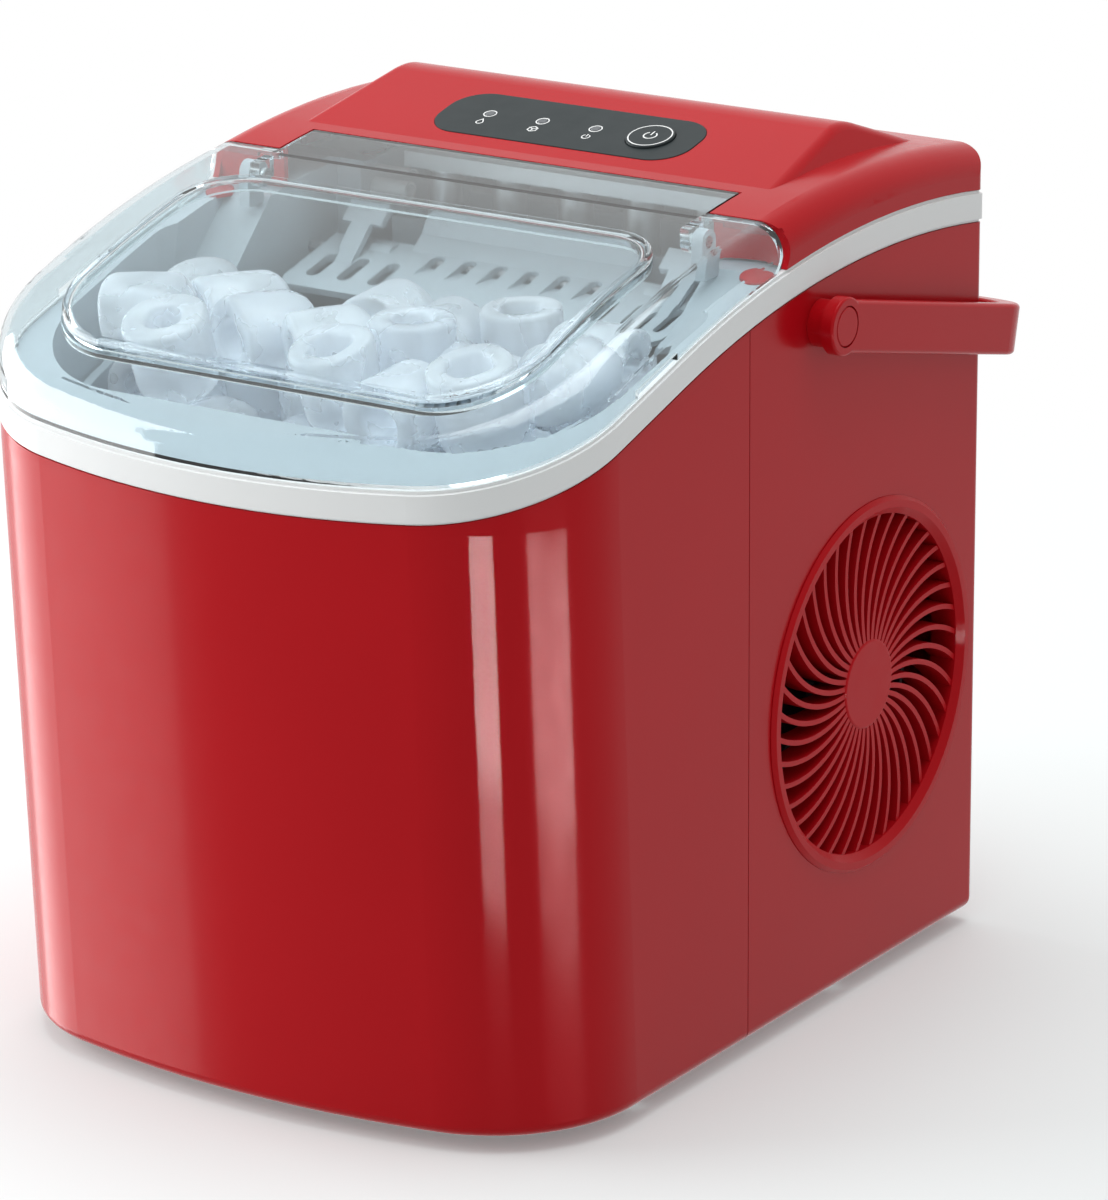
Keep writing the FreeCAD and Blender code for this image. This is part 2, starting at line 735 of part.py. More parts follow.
def bay_form(grow):
    """The space behind the well: shovel bay, narrower tray bay and the sloping cheeks."""
    low = bay_floor_height - grow
    front = well_back_y - 3 * well_wall
    shovel_bay = box(-bay_half_width - grow, bay_half_width + grow, front, bay_step_y + grow, low, form_top)
    tray_bay = box(-tray_bay_half_width - grow, tray_bay_half_width + grow, front, bay_back_y + grow, low,
                   form_top)
    floor_cut = polygon_prism([(-reach, front, low - bay_floor_fall), (-reach, bay_back_y, low),
                               (-reach, bay_back_y, low + 1), (-reach, front, low + 1)], (2 * reach, 0, 0))
    floor_cut = floor_cut.common(box(-tray_bay_half_width - grow, tray_bay_half_width + grow, front,
                                     bay_back_y, 0, form_top))
    cheek_z = deck_height(well_back_y) - cheek_height
    run = 2 * cheek_height
    side = well_half_width + grow
    cheeks = polygon_prism([(-side, front, cheek_z - grow * 1.4), (-side, well_back_y, cheek_z - grow * 1.4),
                            (-side, well_back_y + run, cheek_z - grow * 1.4 + run),
                            (-side, front, cheek_z + run)], (2 * side, 0, 0))
    return fused([shovel_bay, tray_bay, floor_cut, cheeks])


def inner_tub():
    top = form_top
    cavity = fused([well_form(0, well_floor_height, top), bay_form(0)])
    cavity = rounded(cavity, 5.0, lambda m, e: abs(m.z - well_floor_height) < 0.01)
    body = fused([well_form(well_wall, well_floor_height - well_wall, top), bay_form(well_wall)])
    rim = prism(body_outline(trim_wall - trim_proud + 0.1, draft_top - trim_height), top - draft_top)
    rim = rim.cut([deck_block(-rim_drop - rim_thickness, False), box(-reach, reach, rim_back_y, reach, 0, reach)])
    body = fused([body, rim]).cut(deck_block(-rim_drop, True))
    tub = body.cut(cavity)
    extras = []
    for side in (1, -1):
        x0, x1 = sorted((side * lug_inner_x, side * lug_outer_x))
        foot_z = deck_height(hinge_y) - rim_drop - rim_thickness / 2
        extras.append(box(x0, x1, hinge_y - hinge_boss_radius, hinge_y + hinge_boss_radius, foot_z, hinge_z))
        extras.append(cylinder(hinge_boss_radius, (x0, hinge_y, hinge_z), (x1, hinge_y, hinge_z)))
        for y in (well_front_y + 36, well_back_y - 24):
            for x in (side * 34, ):
                extras.append(box(x - 2, x + 2, y - 8, y + 8, well_floor_height - well_wall / 2,
                                  basket_floor_height - 0.3))
    spigot = cylinder(drain_radius + 2, (drain_x, drain_y, well_floor_height - 12),
                      (drain_x, drain_y, well_floor_height - well_wall / 2))
    tub = fused([tub, spigot] + extras)
    cuts = [cylinder(drain_radius - 1.5, (drain_x, drain_y, 0), (drain_x, drain_y, well_floor_height + 1)),
            cylinder(shovel_rod_radius + 0.05, (-reach, shovel_y, rod_z), (reach, shovel_y, rod_z)),
            cylinder(tray_shaft_radius + running_clearance, (-reach, tray_axis_y, tray_axis_z),
                     (reach, tray_axis_y, tray_axis_z)),
            cylinder(hose_radius + 0.2, (-reach, spout_y, spout_z), (0, spout_y, spout_z)),
            cylinder(hinge_pin_radius + 0.02, (-lug_outer_x - 1, hinge_y, hinge_z),
                     (lug_outer_x + 1, hinge_y, hinge_z))]
    plug = deck_plug_solid(plug_radius + 0.1, 0)
    return tub.cut(cuts + both_sides(plug))


rim_back_y = bay_step_y + 10.0
plug_radius = 5.2
plug_x = 103.4
plug_y = 8.5


def deck_plug_solid(radius, drop):
    plug = cylinder(radius, (plug_x, plug_y, deck_height(plug_y) - rim_drop - 1.2),
                    (plug_x, plug_y, deck_height(plug_y) + 4))
    return plug.cut(deck_block(-0.2 - drop, True))


def deck_plugs():
    return both_sides(rounded(deck_plug_solid(plug_radius, 0), 0.4,
                              lambda m, e: m.z > deck_height(plug_y) - 1))


def tub_insulation():
    """Foam jacket round the well, below the rim and the bay."""
    top = bay_floor_height - bay_floor_fall - 2 * well_wall
    gap = well_wall + 0.3
    jacket = well_form(gap + insulation_wall, well_floor_height, top)
    return jacket.cut(well_form(gap, well_floor_height - 1, top + 1))


insulation_wall = 6.0


def basket_form(inset, bottom, top):
    lower = well_outline(-basket_gap - inset, bottom)
    upper = well_outline(-basket_gap - inset, top)
    return Part.makeLoft([lower, upper], True, True)


def ice_basket():
    top = form_top
    cut_top = deck_block(-basket_top_drop, True)
    outer = basket_form(0, basket_floor_height, top).cut(cut_top)
    outer = rounded(outer, 5.0, lambda m, e: abs(m.z - basket_floor_height) < 0.01)
    inner = basket_form(basket_wall, basket_floor_height + basket_wall, top + 1)
    inner = rounded(inner, 5.0 - basket_wall, lambda m, e: abs(m.z - basket_floor_height - basket_wall) < 0.01)
    basket = outer.cut(inner)
    lip = basket_form(-1.6, basket_floor_height, top).cut(
        [basket_form(basket_wall, basket_floor_height - 1, top + 1), cut_top,
         deck_block(-basket_top_drop - 3.0, False)])
    basket = fused([basket, lip])
    middle_y = (well_front_y + well_back_y) / 2
    slot_z = basket_floor_height + 12
    tools = []
    for i in range(-6, 7):
        x = i * basket_slot_pitch
        tools.append(moved(slot_prism(basket_slot_length, basket_slot_width, 20), x, middle_y,
                           basket_floor_height - 5))
    for i in range(-3, 4):
        y = middle_y + i * basket_slot_pitch
        slot = turned(slot_prism(basket_side_slot, basket_slot_width, 2 * half_width), V(0, 0, 0), X_AXIS, 90)
        slot = turned(slot, V(0, 0, 0), Z_AXIS, 90)
        tools.append(moved(slot, -half_width, y, slot_z + basket_side_slot / 2))
    for i in range(-5, 6):
        slot = turned(slot_prism(basket_side_slot, basket_slot_width, 2 * reach), V(0, 0, 0), X_AXIS, 90)
        tools.append(moved(slot, i * basket_slot_pitch, reach, slot_z + basket_side_slot / 2))
    return basket.cut(tools)


basket_slot_length = 58.0
basket_side_slot = 22.0


# ---------------------------------------------------------------- ice shovel
def bent_sheet(points, thickness, x0, x1):
    """A sheet whose top side runs through the (y, z) points, extruded from x0 to x1."""
    below = []
    for i, (y, z) in enumerate(points):
        a = points[max(i - 1, 0)]
        b = points[min(i + 1, len(points) - 1)]
        dy, dz = b[0] - a[0], b[1] - a[1]
        size = hypot(dy, dz)
        turn = 1.0
        if 0 < i < len(points) - 1:
            d0 = V(0, y - a[0], z - a[1])
            d1 = V(0, b[0] - y, b[1] - z)
            turn = 1 / cos(d0.getAngle(d1) / 2)
            middle = d0.normalize() + d1.normalize()
            dy, dz, size = middle.y, middle.z, middle.Length
        below.append((y + dz / size * thickness * turn, z - dy / size * thickness * turn))
    outline = [(x0, y, z) for y, z in points] + [(x0, y, z) for y, z in reversed(below)]
    return polygon_prism(outline, (x1 - x0, 0, 0))


flap_half_width = 43.0
horn_x0 = 54.0
horn_x1 = 69.5
horn_neck = 4.0
shovel_boss_x = 53.5
shovel_boss_length = 8.0


def ice_shovel():
    fall = tan(radians(shovel_slope))
    y, z = shovel_y, shovel_z
    nose = (y - shovel_reach, z - shovel_reach * fall)
    plate = bent_sheet([nose, (y + 3.4, z + 3.4 * fall)], shovel_thickness, -shovel_half_width, shovel_half_width)
    plate = rounded(plate, 6.0, lambda m, e: abs(e.Length - shovel_thickness) < 0.2 and m.y < y - 20)
    flap = bent_sheet([(y - 6, z - 6 * fall), (y, z), (y + 5.7, z + 4.4), (y + 10.2, z + 12.2)],
                      shovel_thickness, -flap_half_width, flap_half_width)
    flap = rounded(flap, 5.0, lambda m, e: abs(e.Length - shovel_thickness) < 0.2 and m.y > y + 7)
    pieces = [plate, flap]
    for side in (1, -1):
        x0, x1 = sorted((side * horn_x0, side * horn_x1))
        horn = [(y - 1.9, z + 7.8), (y + 4.6, z + 13.1)]
        pieces.append(bent_sheet(horn, shovel_thickness, x0, x1))
        arm = [(y - 13.7, z - 13.7 * fall), (y - 1.9, z + 7.8), (y + 0.4, z + 9.7)]
        pieces.append(bent_sheet(arm, shovel_thickness, x0 + horn_neck, x1 - horn_neck))
        bx = side * shovel_boss_x
        b0, b1 = bx - shovel_boss_length / 2, bx + shovel_boss_length / 2
        pieces.append(cylinder(shovel_boss_radius, (b0, y, rod_z), (b1, y, rod_z)))
    shovel = fused(pieces)
    cuts = [cylinder(shovel_rod_radius + running_clearance, (-reach, y, rod_z), (reach, y, rod_z))]
    for i in range(6):
        x = (i + 0.5) * shovel_slot_pitch
        far = y - 0.5 if i < 3 else y - 9
        near = y - shovel_reach + 7
        slot = slot_prism(far - near, shovel_slot_width, 30)
        slot = moved(slot, x, (far + near) / 2, z - 20)
        if i < 3:
            slot = slot.cut(box(-reach, reach, -reach, reach, 0, rod_z))
        cuts += both_sides(slot)
    return shovel.cut(cuts)


def shovel_rod():
    end = bay_half_width + well_wall
    return cylinder(shovel_rod_radius, (-end, shovel_y, rod_z), (end, shovel_y, rod_z))


# ---------------------------------------------------------------- evaporator, tray and motor
def evaporator():
    y0 = front_y + evaporator_depth
    y1 = y0 + finger_row_gap
    top = evaporator_height
    low = top - evaporator_plate
    half = 2 * finger_pitch + 2 * finger_radius
    pieces = [box(-half, half, y0 - 1.5 * finger_radius, y1 + 1.5 * finger_radius, low, top)]
    pieces.append(box(-tray_bay_half_width - 2 * well_wall, tray_bay_half_width + 2 * well_wall, y0 - 3, y0 + 3,
                      top - 0.2, top + 2))
    fingers = [(i * finger_pitch, y0) for i in range(-2, 3)]
    fingers += [((i + 0.5) * finger_pitch, y1) for i in range(-2, 2)]
    for x, y in fingers:
        tip = low - finger_length
        profile = [(0, low + 0.5), (finger_radius, low + 0.5), (finger_radius, tip + 3),
                   (finger_radius - 1.5, tip + 0.6), (0, tip)]
        pieces.append(revolved(profile, (x, y, 0), (0, 0, 1)))
    middle = (y0 + y1) / 2
    r = tube_radius
    pipe_z = top + r - tube_sink
    pieces.append(cylinder(r, (half - 8, middle, pipe_z), (8 - half, middle, pipe_z)))
    pieces.append(tube([(suction_x, middle, pipe_z), (suction_x, pipe_y, pipe_z),
                        (suction_x, pipe_y, pipe_joint_z)], r, 8))
    return fused(pieces)


suction_x = -14.0
tube_sink = 0.6
pipe_y = 130.8
pipe_joint_z = 200.0


def tray_end(x0, x1, bottom, y0, y1):
    """An end wall of the water tray with its ear round the shaft."""
    ear = tray_shaft_radius + 3.0
    wall = box(x0, x1, y0, y1, bottom, tray_rim_z)
    lug = cylinder(ear, (x0, tray_axis_y, tray_axis_z), (x1, tray_axis_y, tray_axis_z))
    web = polygon_prism([(x0, y1 - 3 * ear, tray_rim_z - ear), (x0, y1, tray_rim_z - 2 * ear),
                         (x0, tray_axis_y + ear * 0.7, tray_axis_z - ear * 0.7),
                         (x0, tray_axis_y - ear * 0.7, tray_axis_z + ear * 0.7)], (x1 - x0, 0, 0))
    return [wall, lug, web]


def water_tray():
    y0 = front_y + evaporator_depth - tray_margin
    y1 = front_y + evaporator_depth + finger_row_gap + tray_margin
    half = 2 * finger_pitch + tray_margin
    bottom = tray_rim_z - tray_height
    outer = box(-half, half, y0, y1, bottom, tray_rim_z)
    outer = rounded(outer, 8.0, lambda m, e: abs(m.z - bottom) < 0.01 and abs(m.x) < 1)
    inner = box(-half + tray_wall, half - tray_wall, y0 + tray_wall, y1 - tray_wall, bottom + tray_wall,
                tray_rim_z + 1)
    inner = rounded(inner, 8.0 - tray_wall, lambda m, e: abs(m.z - bottom - tray_wall) < 0.01 and abs(m.x) < 1)
    pieces = [outer.cut(inner)]
    for side in (1, -1):
        x0, x1 = sorted((side * (half - tray_wall), side * half))
        lug_pieces = tray_end(x0, x1, bottom + 8, y0 + 1, y1)
        pieces += lug_pieces[1:]
        pieces.append(cylinder(tray_shaft_radius, (side * (half - tray_wall), tray_axis_y, tray_axis_z),
                               (side * (tray_bay_half_width + well_wall + 2.0), tray_axis_y, tray_axis_z)))
    return fused(pieces)


def tray_motor():
    x1 = -tray_bay_half_width - well_wall - 0.2
    x0 = x1 - tray_motor_length
    y, z = tray_axis_y, tray_axis_z
    body = cylinder(tray_motor_radius, (x0, y, z), (x1, y, z))
    ears = box(x1 - 1.2, x1, y - 1.6 * tray_motor_radius, y + 1.1 * tray_motor_radius, z - 5, z + 5)
    ears = rounded(ears, 4.0, lambda m, e: length_along(e, X_AXIS) > 0.9)
    cable = box(x0 + 3, x0 + 10, y - 5, y + 5, z - tray_motor_radius - 3, z - tray_motor_radius + 3)
    return fused([body, ears, cable]).cut(
        cylinder(tray_shaft_radius + running_clearance, (x1 - 3, y, z), (x1 + 1, y, z)))


# ---------------------------------------------------------------- handle
eye_inner_x = half_width + handle_neck_length
eye_outer_x = eye_inner_x + handle_arm_thickness
handle_cap_radius = 6.4
handle_cap_depth = 1.5


def handle():
    """One bail: two arms and a cross grip, built level and then turned down to rest."""
    y0, z0 = handle_y, handle_z
    grip_z = handle_grip_width / 2
    outer = rounded_rectangle(eye_outer_x, -handle_reach, handle_reach, handle_corner_radius,
                              handle_corner_radius, -grip_z)
    inside = handle_corner_radius - handle_arm_thickness
    inner = rounded_rectangle(eye_inner_x, handle_grip_thickness - handle_reach,
                              handle_reach - handle_grip_thickness, inside, inside, -grip_z - 1)
    bail = prism(outer, 2 * grip_z).cut(prism(inner, 2 * grip_z + 2))
    bail = bail.common(box(-reach, reach, 0, reach, -reach, reach))
    bail = rounded(bail, handle_edge_radius, lambda m, e: abs(abs(m.z) - grip_z) < 0.01 and m.y > 1)
    bail = moved(bail, 0, y0, z0)
    eyes = []
    holes = []
    for side in (1, -1):
        a, b = side * eye_inner_x, side * eye_outer_x
        eye = cylinder(handle_eye_radius, (a, y0, z0), (b, y0, z0))
        eyes.append(rounded(eye, 0.8, lambda m, e: abs(m.x - b) < 0.01))
        holes.append(cylinder(handle_pin_radius + running_clearance, (0, y0, z0), (2 * b, y0, z0)))
        holes.append(cylinder(handle_cap_radius + 0.3, (b - side * handle_cap_depth, y0, z0), (2 * b, y0, z0)))
    bail = fused([bail] + eyes).cut(holes)
    return turned(bail, V(0, y0, z0), X_AXIS, handle_rest_angle)


def handle_pivots():
    y, z = handle_y, handle_z
    x_in = half_width - shell_wall
    profile = [(0, x_in - 3.0), (handle_neck_radius + 2.0, x_in - 3.0), (handle_neck_radius + 2.0, x_in - 0.1),
               (handle_pin_radius, x_in - 0.1), (handle_pin_radius, half_width + 0.1),
               (handle_neck_radius, half_width + 0.1), (handle_neck_radius, eye_inner_x - 0.3),
               (handle_pin_radius, eye_inner_x - 0.3),
               (handle_pin_radius, eye_outer_x - handle_cap_depth + 0.1),
               (handle_cap_radius, eye_outer_x - handle_cap_depth + 0.1),
               (handle_cap_radius, eye_outer_x - 0.4), (handle_cap_radius - 0.4, eye_outer_x),
               (0, eye_outer_x)]
    return both_sides(revolved(profile, (0, y, z), (1, 0, 0)))


# ---------------------------------------------------------------- side grilles
def spiral_vane(x0, x1, angle, hub, ring):
    """One curved vane between the hub and the ring, as a thin solid along X."""
    points = []
    for t in (0.0, 0.5, 1.0):
        r = hub + (ring - hub) * t
        a = radians(angle - vane_sweep * t * t)
        points.append((r * cos(a), r * sin(a)))
    rows = []
    for side in (0.5, -0.5):
        row = []
        for i, (py, pz) in enumerate(points):
            before = points[max(i - 1, 0)]
            after = points[min(i + 1, 2)]
            dy, dz = after[0] - before[0], after[1] - before[1]
            size = hypot(dy, dz)
            shift = side * vane_thickness / size
            row.append(V(x0, vent_y + py - dz * shift, vent_height + pz + dy * shift))
        rows.append(row)
    a, b = rows
    edges = [Part.Arc(a[0], a[1], a[2]).toShape(), Part.makeLine(a[2], b[2]),
             Part.Arc(b[2], b[1], b[0]).toShape(), Part.makeLine(b[0], a[0])]
    return Part.Face(Part.Wire(edges)).extrude(V(x1 - x0, 0, 0))


def side_grille(side):
    """Round air grille: bevelled ring, barrel, hub and a wheel of curved vanes."""
    x_face = half_width
    ring_in = vent_radius - vent_rim_width
    bevel = vent_proud * 0.8
    profile = [(ring_in, x_face - vent_depth), (vent_barrel_radius, x_face - vent_depth),
               (vent_barrel_radius, x_face + 0.1), (vent_radius, x_face + 0.1),
               (vent_radius, x_face + vent_proud - bevel), (vent_radius - bevel, x_face + vent_proud),
               (ring_in + bevel + 1, x_face + vent_proud), (ring_in, x_face - 0.6)]
    ring = revolved(profile, (0, vent_y, vent_height), (1, 0, 0))
    x0, x1 = x_face - vent_depth, x_face - 1.0
    hub = cylinder(vent_hub_radius, (x0, vent_y, vent_height), (x1 + 0.4, vent_y, vent_height))
    hub = rounded(hub, 1.0, lambda m, e: abs(m.x - x1 - 0.4) < 0.01)
    pieces = [ring, hub]
    for i in range(vent_vanes):
        pieces.append(spiral_vane(x0, x1, 360 * i / vent_vanes, vent_hub_radius - 0.6, ring_in + 0.6))
    for i in range(4):
        a = radians(45 + 90 * i)
        y = vent_y + (vent_barrel_radius - 2.0) * cos(a)
        z = vent_height + (vent_barrel_radius - 2.0) * sin(a)
        pieces.append(cylinder(2.6, (x0 - 2.0, y, z), (x0 + 1.0, y, z)))
    grille = fused(pieces)
    return grille if side > 0 else mirrored(grille)


def side_grille_right():
    return side_grille(1)


def side_grille_left():
    return side_grille(-1)


# ---------------------------------------------------------------- base
foot_radius = 9.0
foot_stem_radius = 3.0
foot_places = [(80.0, -92.0), (84.0, 112.0)]
screw_places = [(101.5, -60.0), (101.5, 60.0), (50.0, 130.0)]
drain_plug_radius = 8.0
compressor_y = front_y + compressor_depth
mount_spread = 38.0
mount_radius = 7.0
mount_bolt_radius = 2.5


def feet_centres():
    return [(side * x, y) for x, y in foot_places for side in (1, -1)]


def screw_centres():
    return [(side * x, y) for x, y in screw_places for side in (1, -1)]


def mount_centres():
    return [(compressor_x + i * mount_spread, compressor_y + j * mount_spread) for i in (1, -1) for j in (1, -1)]


def base_pan():
    inset = shell_wall + pan_clearance
    rim_top = pan_top + pan_rim
    pan = body_form(inset, pan_bottom, rim_top).cut(body_form(inset + 2.0, pan_top, rim_top + 1))
    ribs = []
    for y in (-100, -70, -40, -14):
        ribs.append(box(-70, 70, y - 1, y + 1, pan_top - 0.5, pan_top + 4))
    for x, y in screw_centres():
        ribs.append(cylinder(4.5, (x, y, pan_top - 0.5), (x, y, pan_top + 8)))
    for x, y in mount_centres():
        ribs.append(cylinder(mount_radius + 1.5, (x, y, pan_top - 0.5), (x, y, pan_top + 1)))
    pan = fused([pan] + ribs)
    cuts = []
    for x, y in feet_centres():
        cuts.append(cylinder(foot_stem_radius + 0.05, (x, y, 0), (x, y, pan_top + 6)))
    for x, y in screw_centres():
        cuts.append(cylinder(screw_radius + 0.02, (x, y, 0), (x, y, pan_top + 10)))
    cuts.append(cylinder(drain_radius + 1.1, (drain_x, drain_y, 0), (drain_x, drain_y, pan_top + 6)))
    return pan.cut(cuts)


def rubber_feet():
    feet = []
    for x, y in feet_centres():
        profile = [(0, 0), (foot_radius - 1.5, 0), (foot_radius, 1.5), (foot_radius, foot_height),
                   (foot_radius - 1.5, pan_bottom), (foot_stem_radius, pan_bottom), (foot_stem_radius, pan_top),
                   (foot_stem_radius + 1.0, pan_top + 0.1), (foot_stem_radius - 1.0, pan_top + 3.5),
                   (0, pan_top + 3.5)]
        feet.append(revolved(profile, (x, y, 0), (0, 0, 1)))
    return feet


def base_screws():
    screws = []
    for x, y in screw_centres():
        one = screw(x, y, shell_bottom - screw_radius, pan_top + 6 - shell_bottom + screw_radius)
        slot = box(x - screw_head_radius * 0.7, x + screw_head_radius * 0.7, y - 0.5, y + 0.5, 0,
                   shell_bottom - screw_radius + 0.7)
        cross = turned(slot, V(x, y, 0), Z_AXIS, 90)
        screws.append(one.cut([slot, cross]))
    return screws


def drain_hose():
    """From the spigot under the well down to the outlet in the pan."""
    top = well_floor_height - 12 + 8
    inner = drain_radius + 2.1
    profile = [(inner, top), (inner + 1.6, top), (inner + 1.6, top - 12), (drain_radius + 1.0, top - 16),
               (drain_radius + 1.0, pan_bottom - 2.4), (drain_radius - 0.6, pan_bottom - 2.4),
               (drain_radius - 0.6, top - 17), (inner, top - 13)]
    hose = revolved(profile, (drain_x, drain_y, 0), (0, 0, 1))
    flange = cylinder(drain_radius + 4.0, (drain_x, drain_y, pan_bottom - 1.6),
                      (drain_x, drain_y, pan_bottom - 0.05))
    hollow = cylinder(drain_radius - 0.6, (drain_x, drain_y, 0), (drain_x, drain_y, top - 20))
    return fused([hose, flange.cut(hollow)])


def drain_plug():
    stem = drain_radius - 0.6 - running_clearance
    face = pan_bottom - 2.4 - 0.1
    profile = [(0, face + 6), (stem - 0.6, face + 6), (stem, face + 5.2), (stem, face), (drain_plug_radius, face),
               (drain_plug_radius, face - 2.2), (drain_plug_radius - 0.6, face - 2.6), (0, face - 2.6)]
    plug = revolved(profile, (drain_x, drain_y, 0), (0, 0, 1))
    grip = box(drain_x - 5, drain_x + 5, drain_y - 0.9, drain_y + 0.9, face - 4.0, face - 2.5)
    return fused([plug, grip])


# ---------------------------------------------------------------- machine space
compressor_bottom = pan_top + grommet_height
suction_stub_x = suction_x
discharge_x = -38.0
condenser_x0 = -98.0
condenser_x1 = -78.5
condenser_y0 = 22.0
condenser_y1 = 108.0
condenser_z0 = 58.0
condenser_z1 = 156.0
fan_x = 90.0
fan_depth = 13.0


def compressor():
    z0 = compressor_bottom + 3.0
    z1 = pan_top + grommet_height + compressor_height
    r = compressor_radius
    profile = [(0, z0), (r - 8, z0), (r - 1, z0 + 8), (r - 1, z0 + 38), (r + 1.5, z0 + 38), (r + 1.5, z0 + 41),
               (r, z0 + 41), (r, z1 - 16), (r - 5, z1 - 6), (r - 20, z1), (0, z1)]
    can = revolved(profile, (compressor_x, compressor_y, 0), (0, 0, 1))
    side = mount_spread + mount_radius + 2
    plate = box(compressor_x - side, compressor_x + side, compressor_y - side, compressor_y + side,
                compressor_bottom, compressor_bottom + 3.1)
    plate = rounded(plate, 9.0, lambda m, e: length_along(e, Z_AXIS) > 0.9)
    cover = cylinder(11, (compressor_x + 12, compressor_y - r + 6, z0 + 58),
                     (compressor_x + 20, compressor_y - r - 14, z0 + 58))
    can = fused([can, plate, cover])
    holes = [cylinder(mount_bolt_radius + 0.5, (x, y, 0), (x, y, compressor_bottom + 6))
             for x, y in mount_centres()]
    return can.cut(holes)


def compressor_mounts():
    mounts = []
    for x, y in mount_centres():
        b = compressor_bottom
        profile = [(0, pan_top + 1.05), (mount_radius, pan_top + 1.05), (mount_radius, pan_top + 3),
                   (mount_radius - 1.5, pan_top + 4.5), (mount_radius, pan_top + 6), (mount_radius, b - 0.05),
                   (mount_bolt_radius, b - 0.05), (mount_bolt_radius, b + 3.3), (mount_radius - 1, b + 3.3),
                   (mount_radius - 1, b + 6.3), (mount_bolt_radius, b + 6.3), (mount_bolt_radius, b + 9),
                   (0, b + 9)]
        mounts.append(revolved(profile, (x, y, 0), (0, 0, 1)))
    return mounts


def suction_pipe():
    top = pan_top + grommet_height + compressor_height
    return tube([(suction_x, compressor_y, top + 0.05), (suction_x, compressor_y, top + 20),
                 (suction_x, pipe_y, top + 20), (suction_x, pipe_y, pipe_joint_z - 0.05)], tube_radius, 8)


def discharge_pipe():
    top = pan_top + grommet_height + compressor_height
    x = (condenser_x0 + condenser_x1) / 2
    return tube([(discharge_x, compressor_y, top + 0.05), (discharge_x, compressor_y, top + 40),
                 (x, compressor_y, top + 40), (x, compressor_y, condenser_z1 + 0.05)], tube_radius, 8)


condenser_fins = 20
condenser_rows = 6


def condenser():
    """Finned block with the return bends of its tube showing at both ends."""
    core = box(condenser_x0, condenser_x1, condenser_y0, condenser_y1, condenser_z0, condenser_z1)
    pitch = (condenser_y1 - condenser_y0) / condenser_fins
    middle = (condenser_x0 + condenser_x1) / 2
    cuts = []
    for i in range(condenser_fins):
        y = condenser_y0 + (i + 0.5) * pitch
        for x0, x1 in ((condenser_x0 - 1, middle - 2), (middle + 2, condenser_x1 + 1)):
            cuts.append(box(x0, x1, y - pitch * 0.33, y + pitch * 0.33, condenser_z0 + 2, condenser_z1 - 2))
    body = core.cut(cuts)
    step = (condenser_z1 - condenser_z0) / condenser_rows
    bends = []
    for i in range(condenser_rows - 1):
        y, out = (condenser_y0, -1) if i % 2 else (condenser_y1, 1)
        z = condenser_z0 + (i + 1) * step
        ring = Part.makeTorus(step / 2, tube_radius, V(middle, y, z), X_AXIS)
        keep = box(middle - 2 * step, middle + 2 * step, min(y - 0.5 * out, y + step * out),
                   max(y - 0.5 * out, y + step * out), z - step, z + step)
        bends.append(ring.common(keep))
    feet = [box(condenser_x0 + 2, condenser_x1 - 2, y - 3, y + 3, pan_top + 0.05, condenser_z0 + 1)
            for y in (condenser_y0 + 8, condenser_y1 - 8)]
    return fused([body] + bends + feet)


drier_y = 128.4
drier_x = -92.0
drier_radius = 7.0


def filter_drier():
    profile = [(0, 66), (1.6, 66), (1.6, 70), (drier_radius, 75), (drier_radius, 120), (1.6, 126), (1.6, 130),
               (0, 130)]
    can = revolved(profile, (drier_x, drier_y, 0), (0, 0, 1))
    z = evaporator_height - evaporator_plate / 2
    end_y = front_y + evaporator_depth + finger_row_gap + 1.5 * finger_radius + 0.1
    capillary = tube([(drier_x, drier_y, 129), (drier_x, drier_y, z), (capillary_x, drier_y, z),
                      (capillary_x, end_y, z)], capillary_radius, 6)
    return fused([can, capillary])


capillary_x = -44.0
capillary_radius = 1.3


def fan_rotor():
    x0 = fan_x - fan_depth / 2
    x1 = fan_x + fan_depth / 2
    y, z = vent_y, vent_height
    hub = revolved([(2.5, x0), (14, x0), (14, x1 - 2), (12, x1), (0, x1), (0, x1 - 5), (2.5, x1 - 5)],
                   (0, y, z), (1, 0, 0))
    pieces = [hub]
    for i in range(fan_blades):
        blade = box(-1.1, 1.1, 12.5, fan_radius - 1.5, -15, 15)
        corner = rounded(blade, 8.0, lambda m, e: length_along(e, X_AXIS) > 0.9 and m.y > 20)
        blade = turned(corner, V(0, 0, 0), Y_AXIS, 66)
        blade = blade.common(box(x0 - fan_x + 0.2, x1 - fan_x - 0.2, 0, fan_radius, -40, 40))
        blade = turned(moved(blade, fan_x, y, z), V(0, y, z), X_AXIS, 360 * i / fan_blades)
        pieces.append(blade)
    return fused(pieces)


def fan_motor():
    x1 = fan_x - fan_depth / 2 - 5.0
    x0 = x1 - fan_motor_length
    y, z = vent_y, vent_height
    profile = [(0, x0 - 3), (7, x0 - 3), (7, x0), (fan_motor_radius, x0), (fan_motor_radius, x1),
               (6, x1), (6, x1 + 2), (2.5 - running_clearance, x1 + 2),
               (2.5 - running_clearance, fan_x + fan_depth / 2 - 5.2), (0, fan_x + fan_depth / 2 - 5.2)]
    body = revolved(profile, (0, y, z), (1, 0, 0))
    slots = []
    for i in range(8):
        slot = box(x0 + 5, x1 - 5, y - 2, y + 2, z + fan_motor_radius - 2, z + fan_motor_radius + 1)
        slots.append(turned(slot, V(0, y, z), X_AXIS, 22.5 + 45 * i))
    return body.cut(slots)


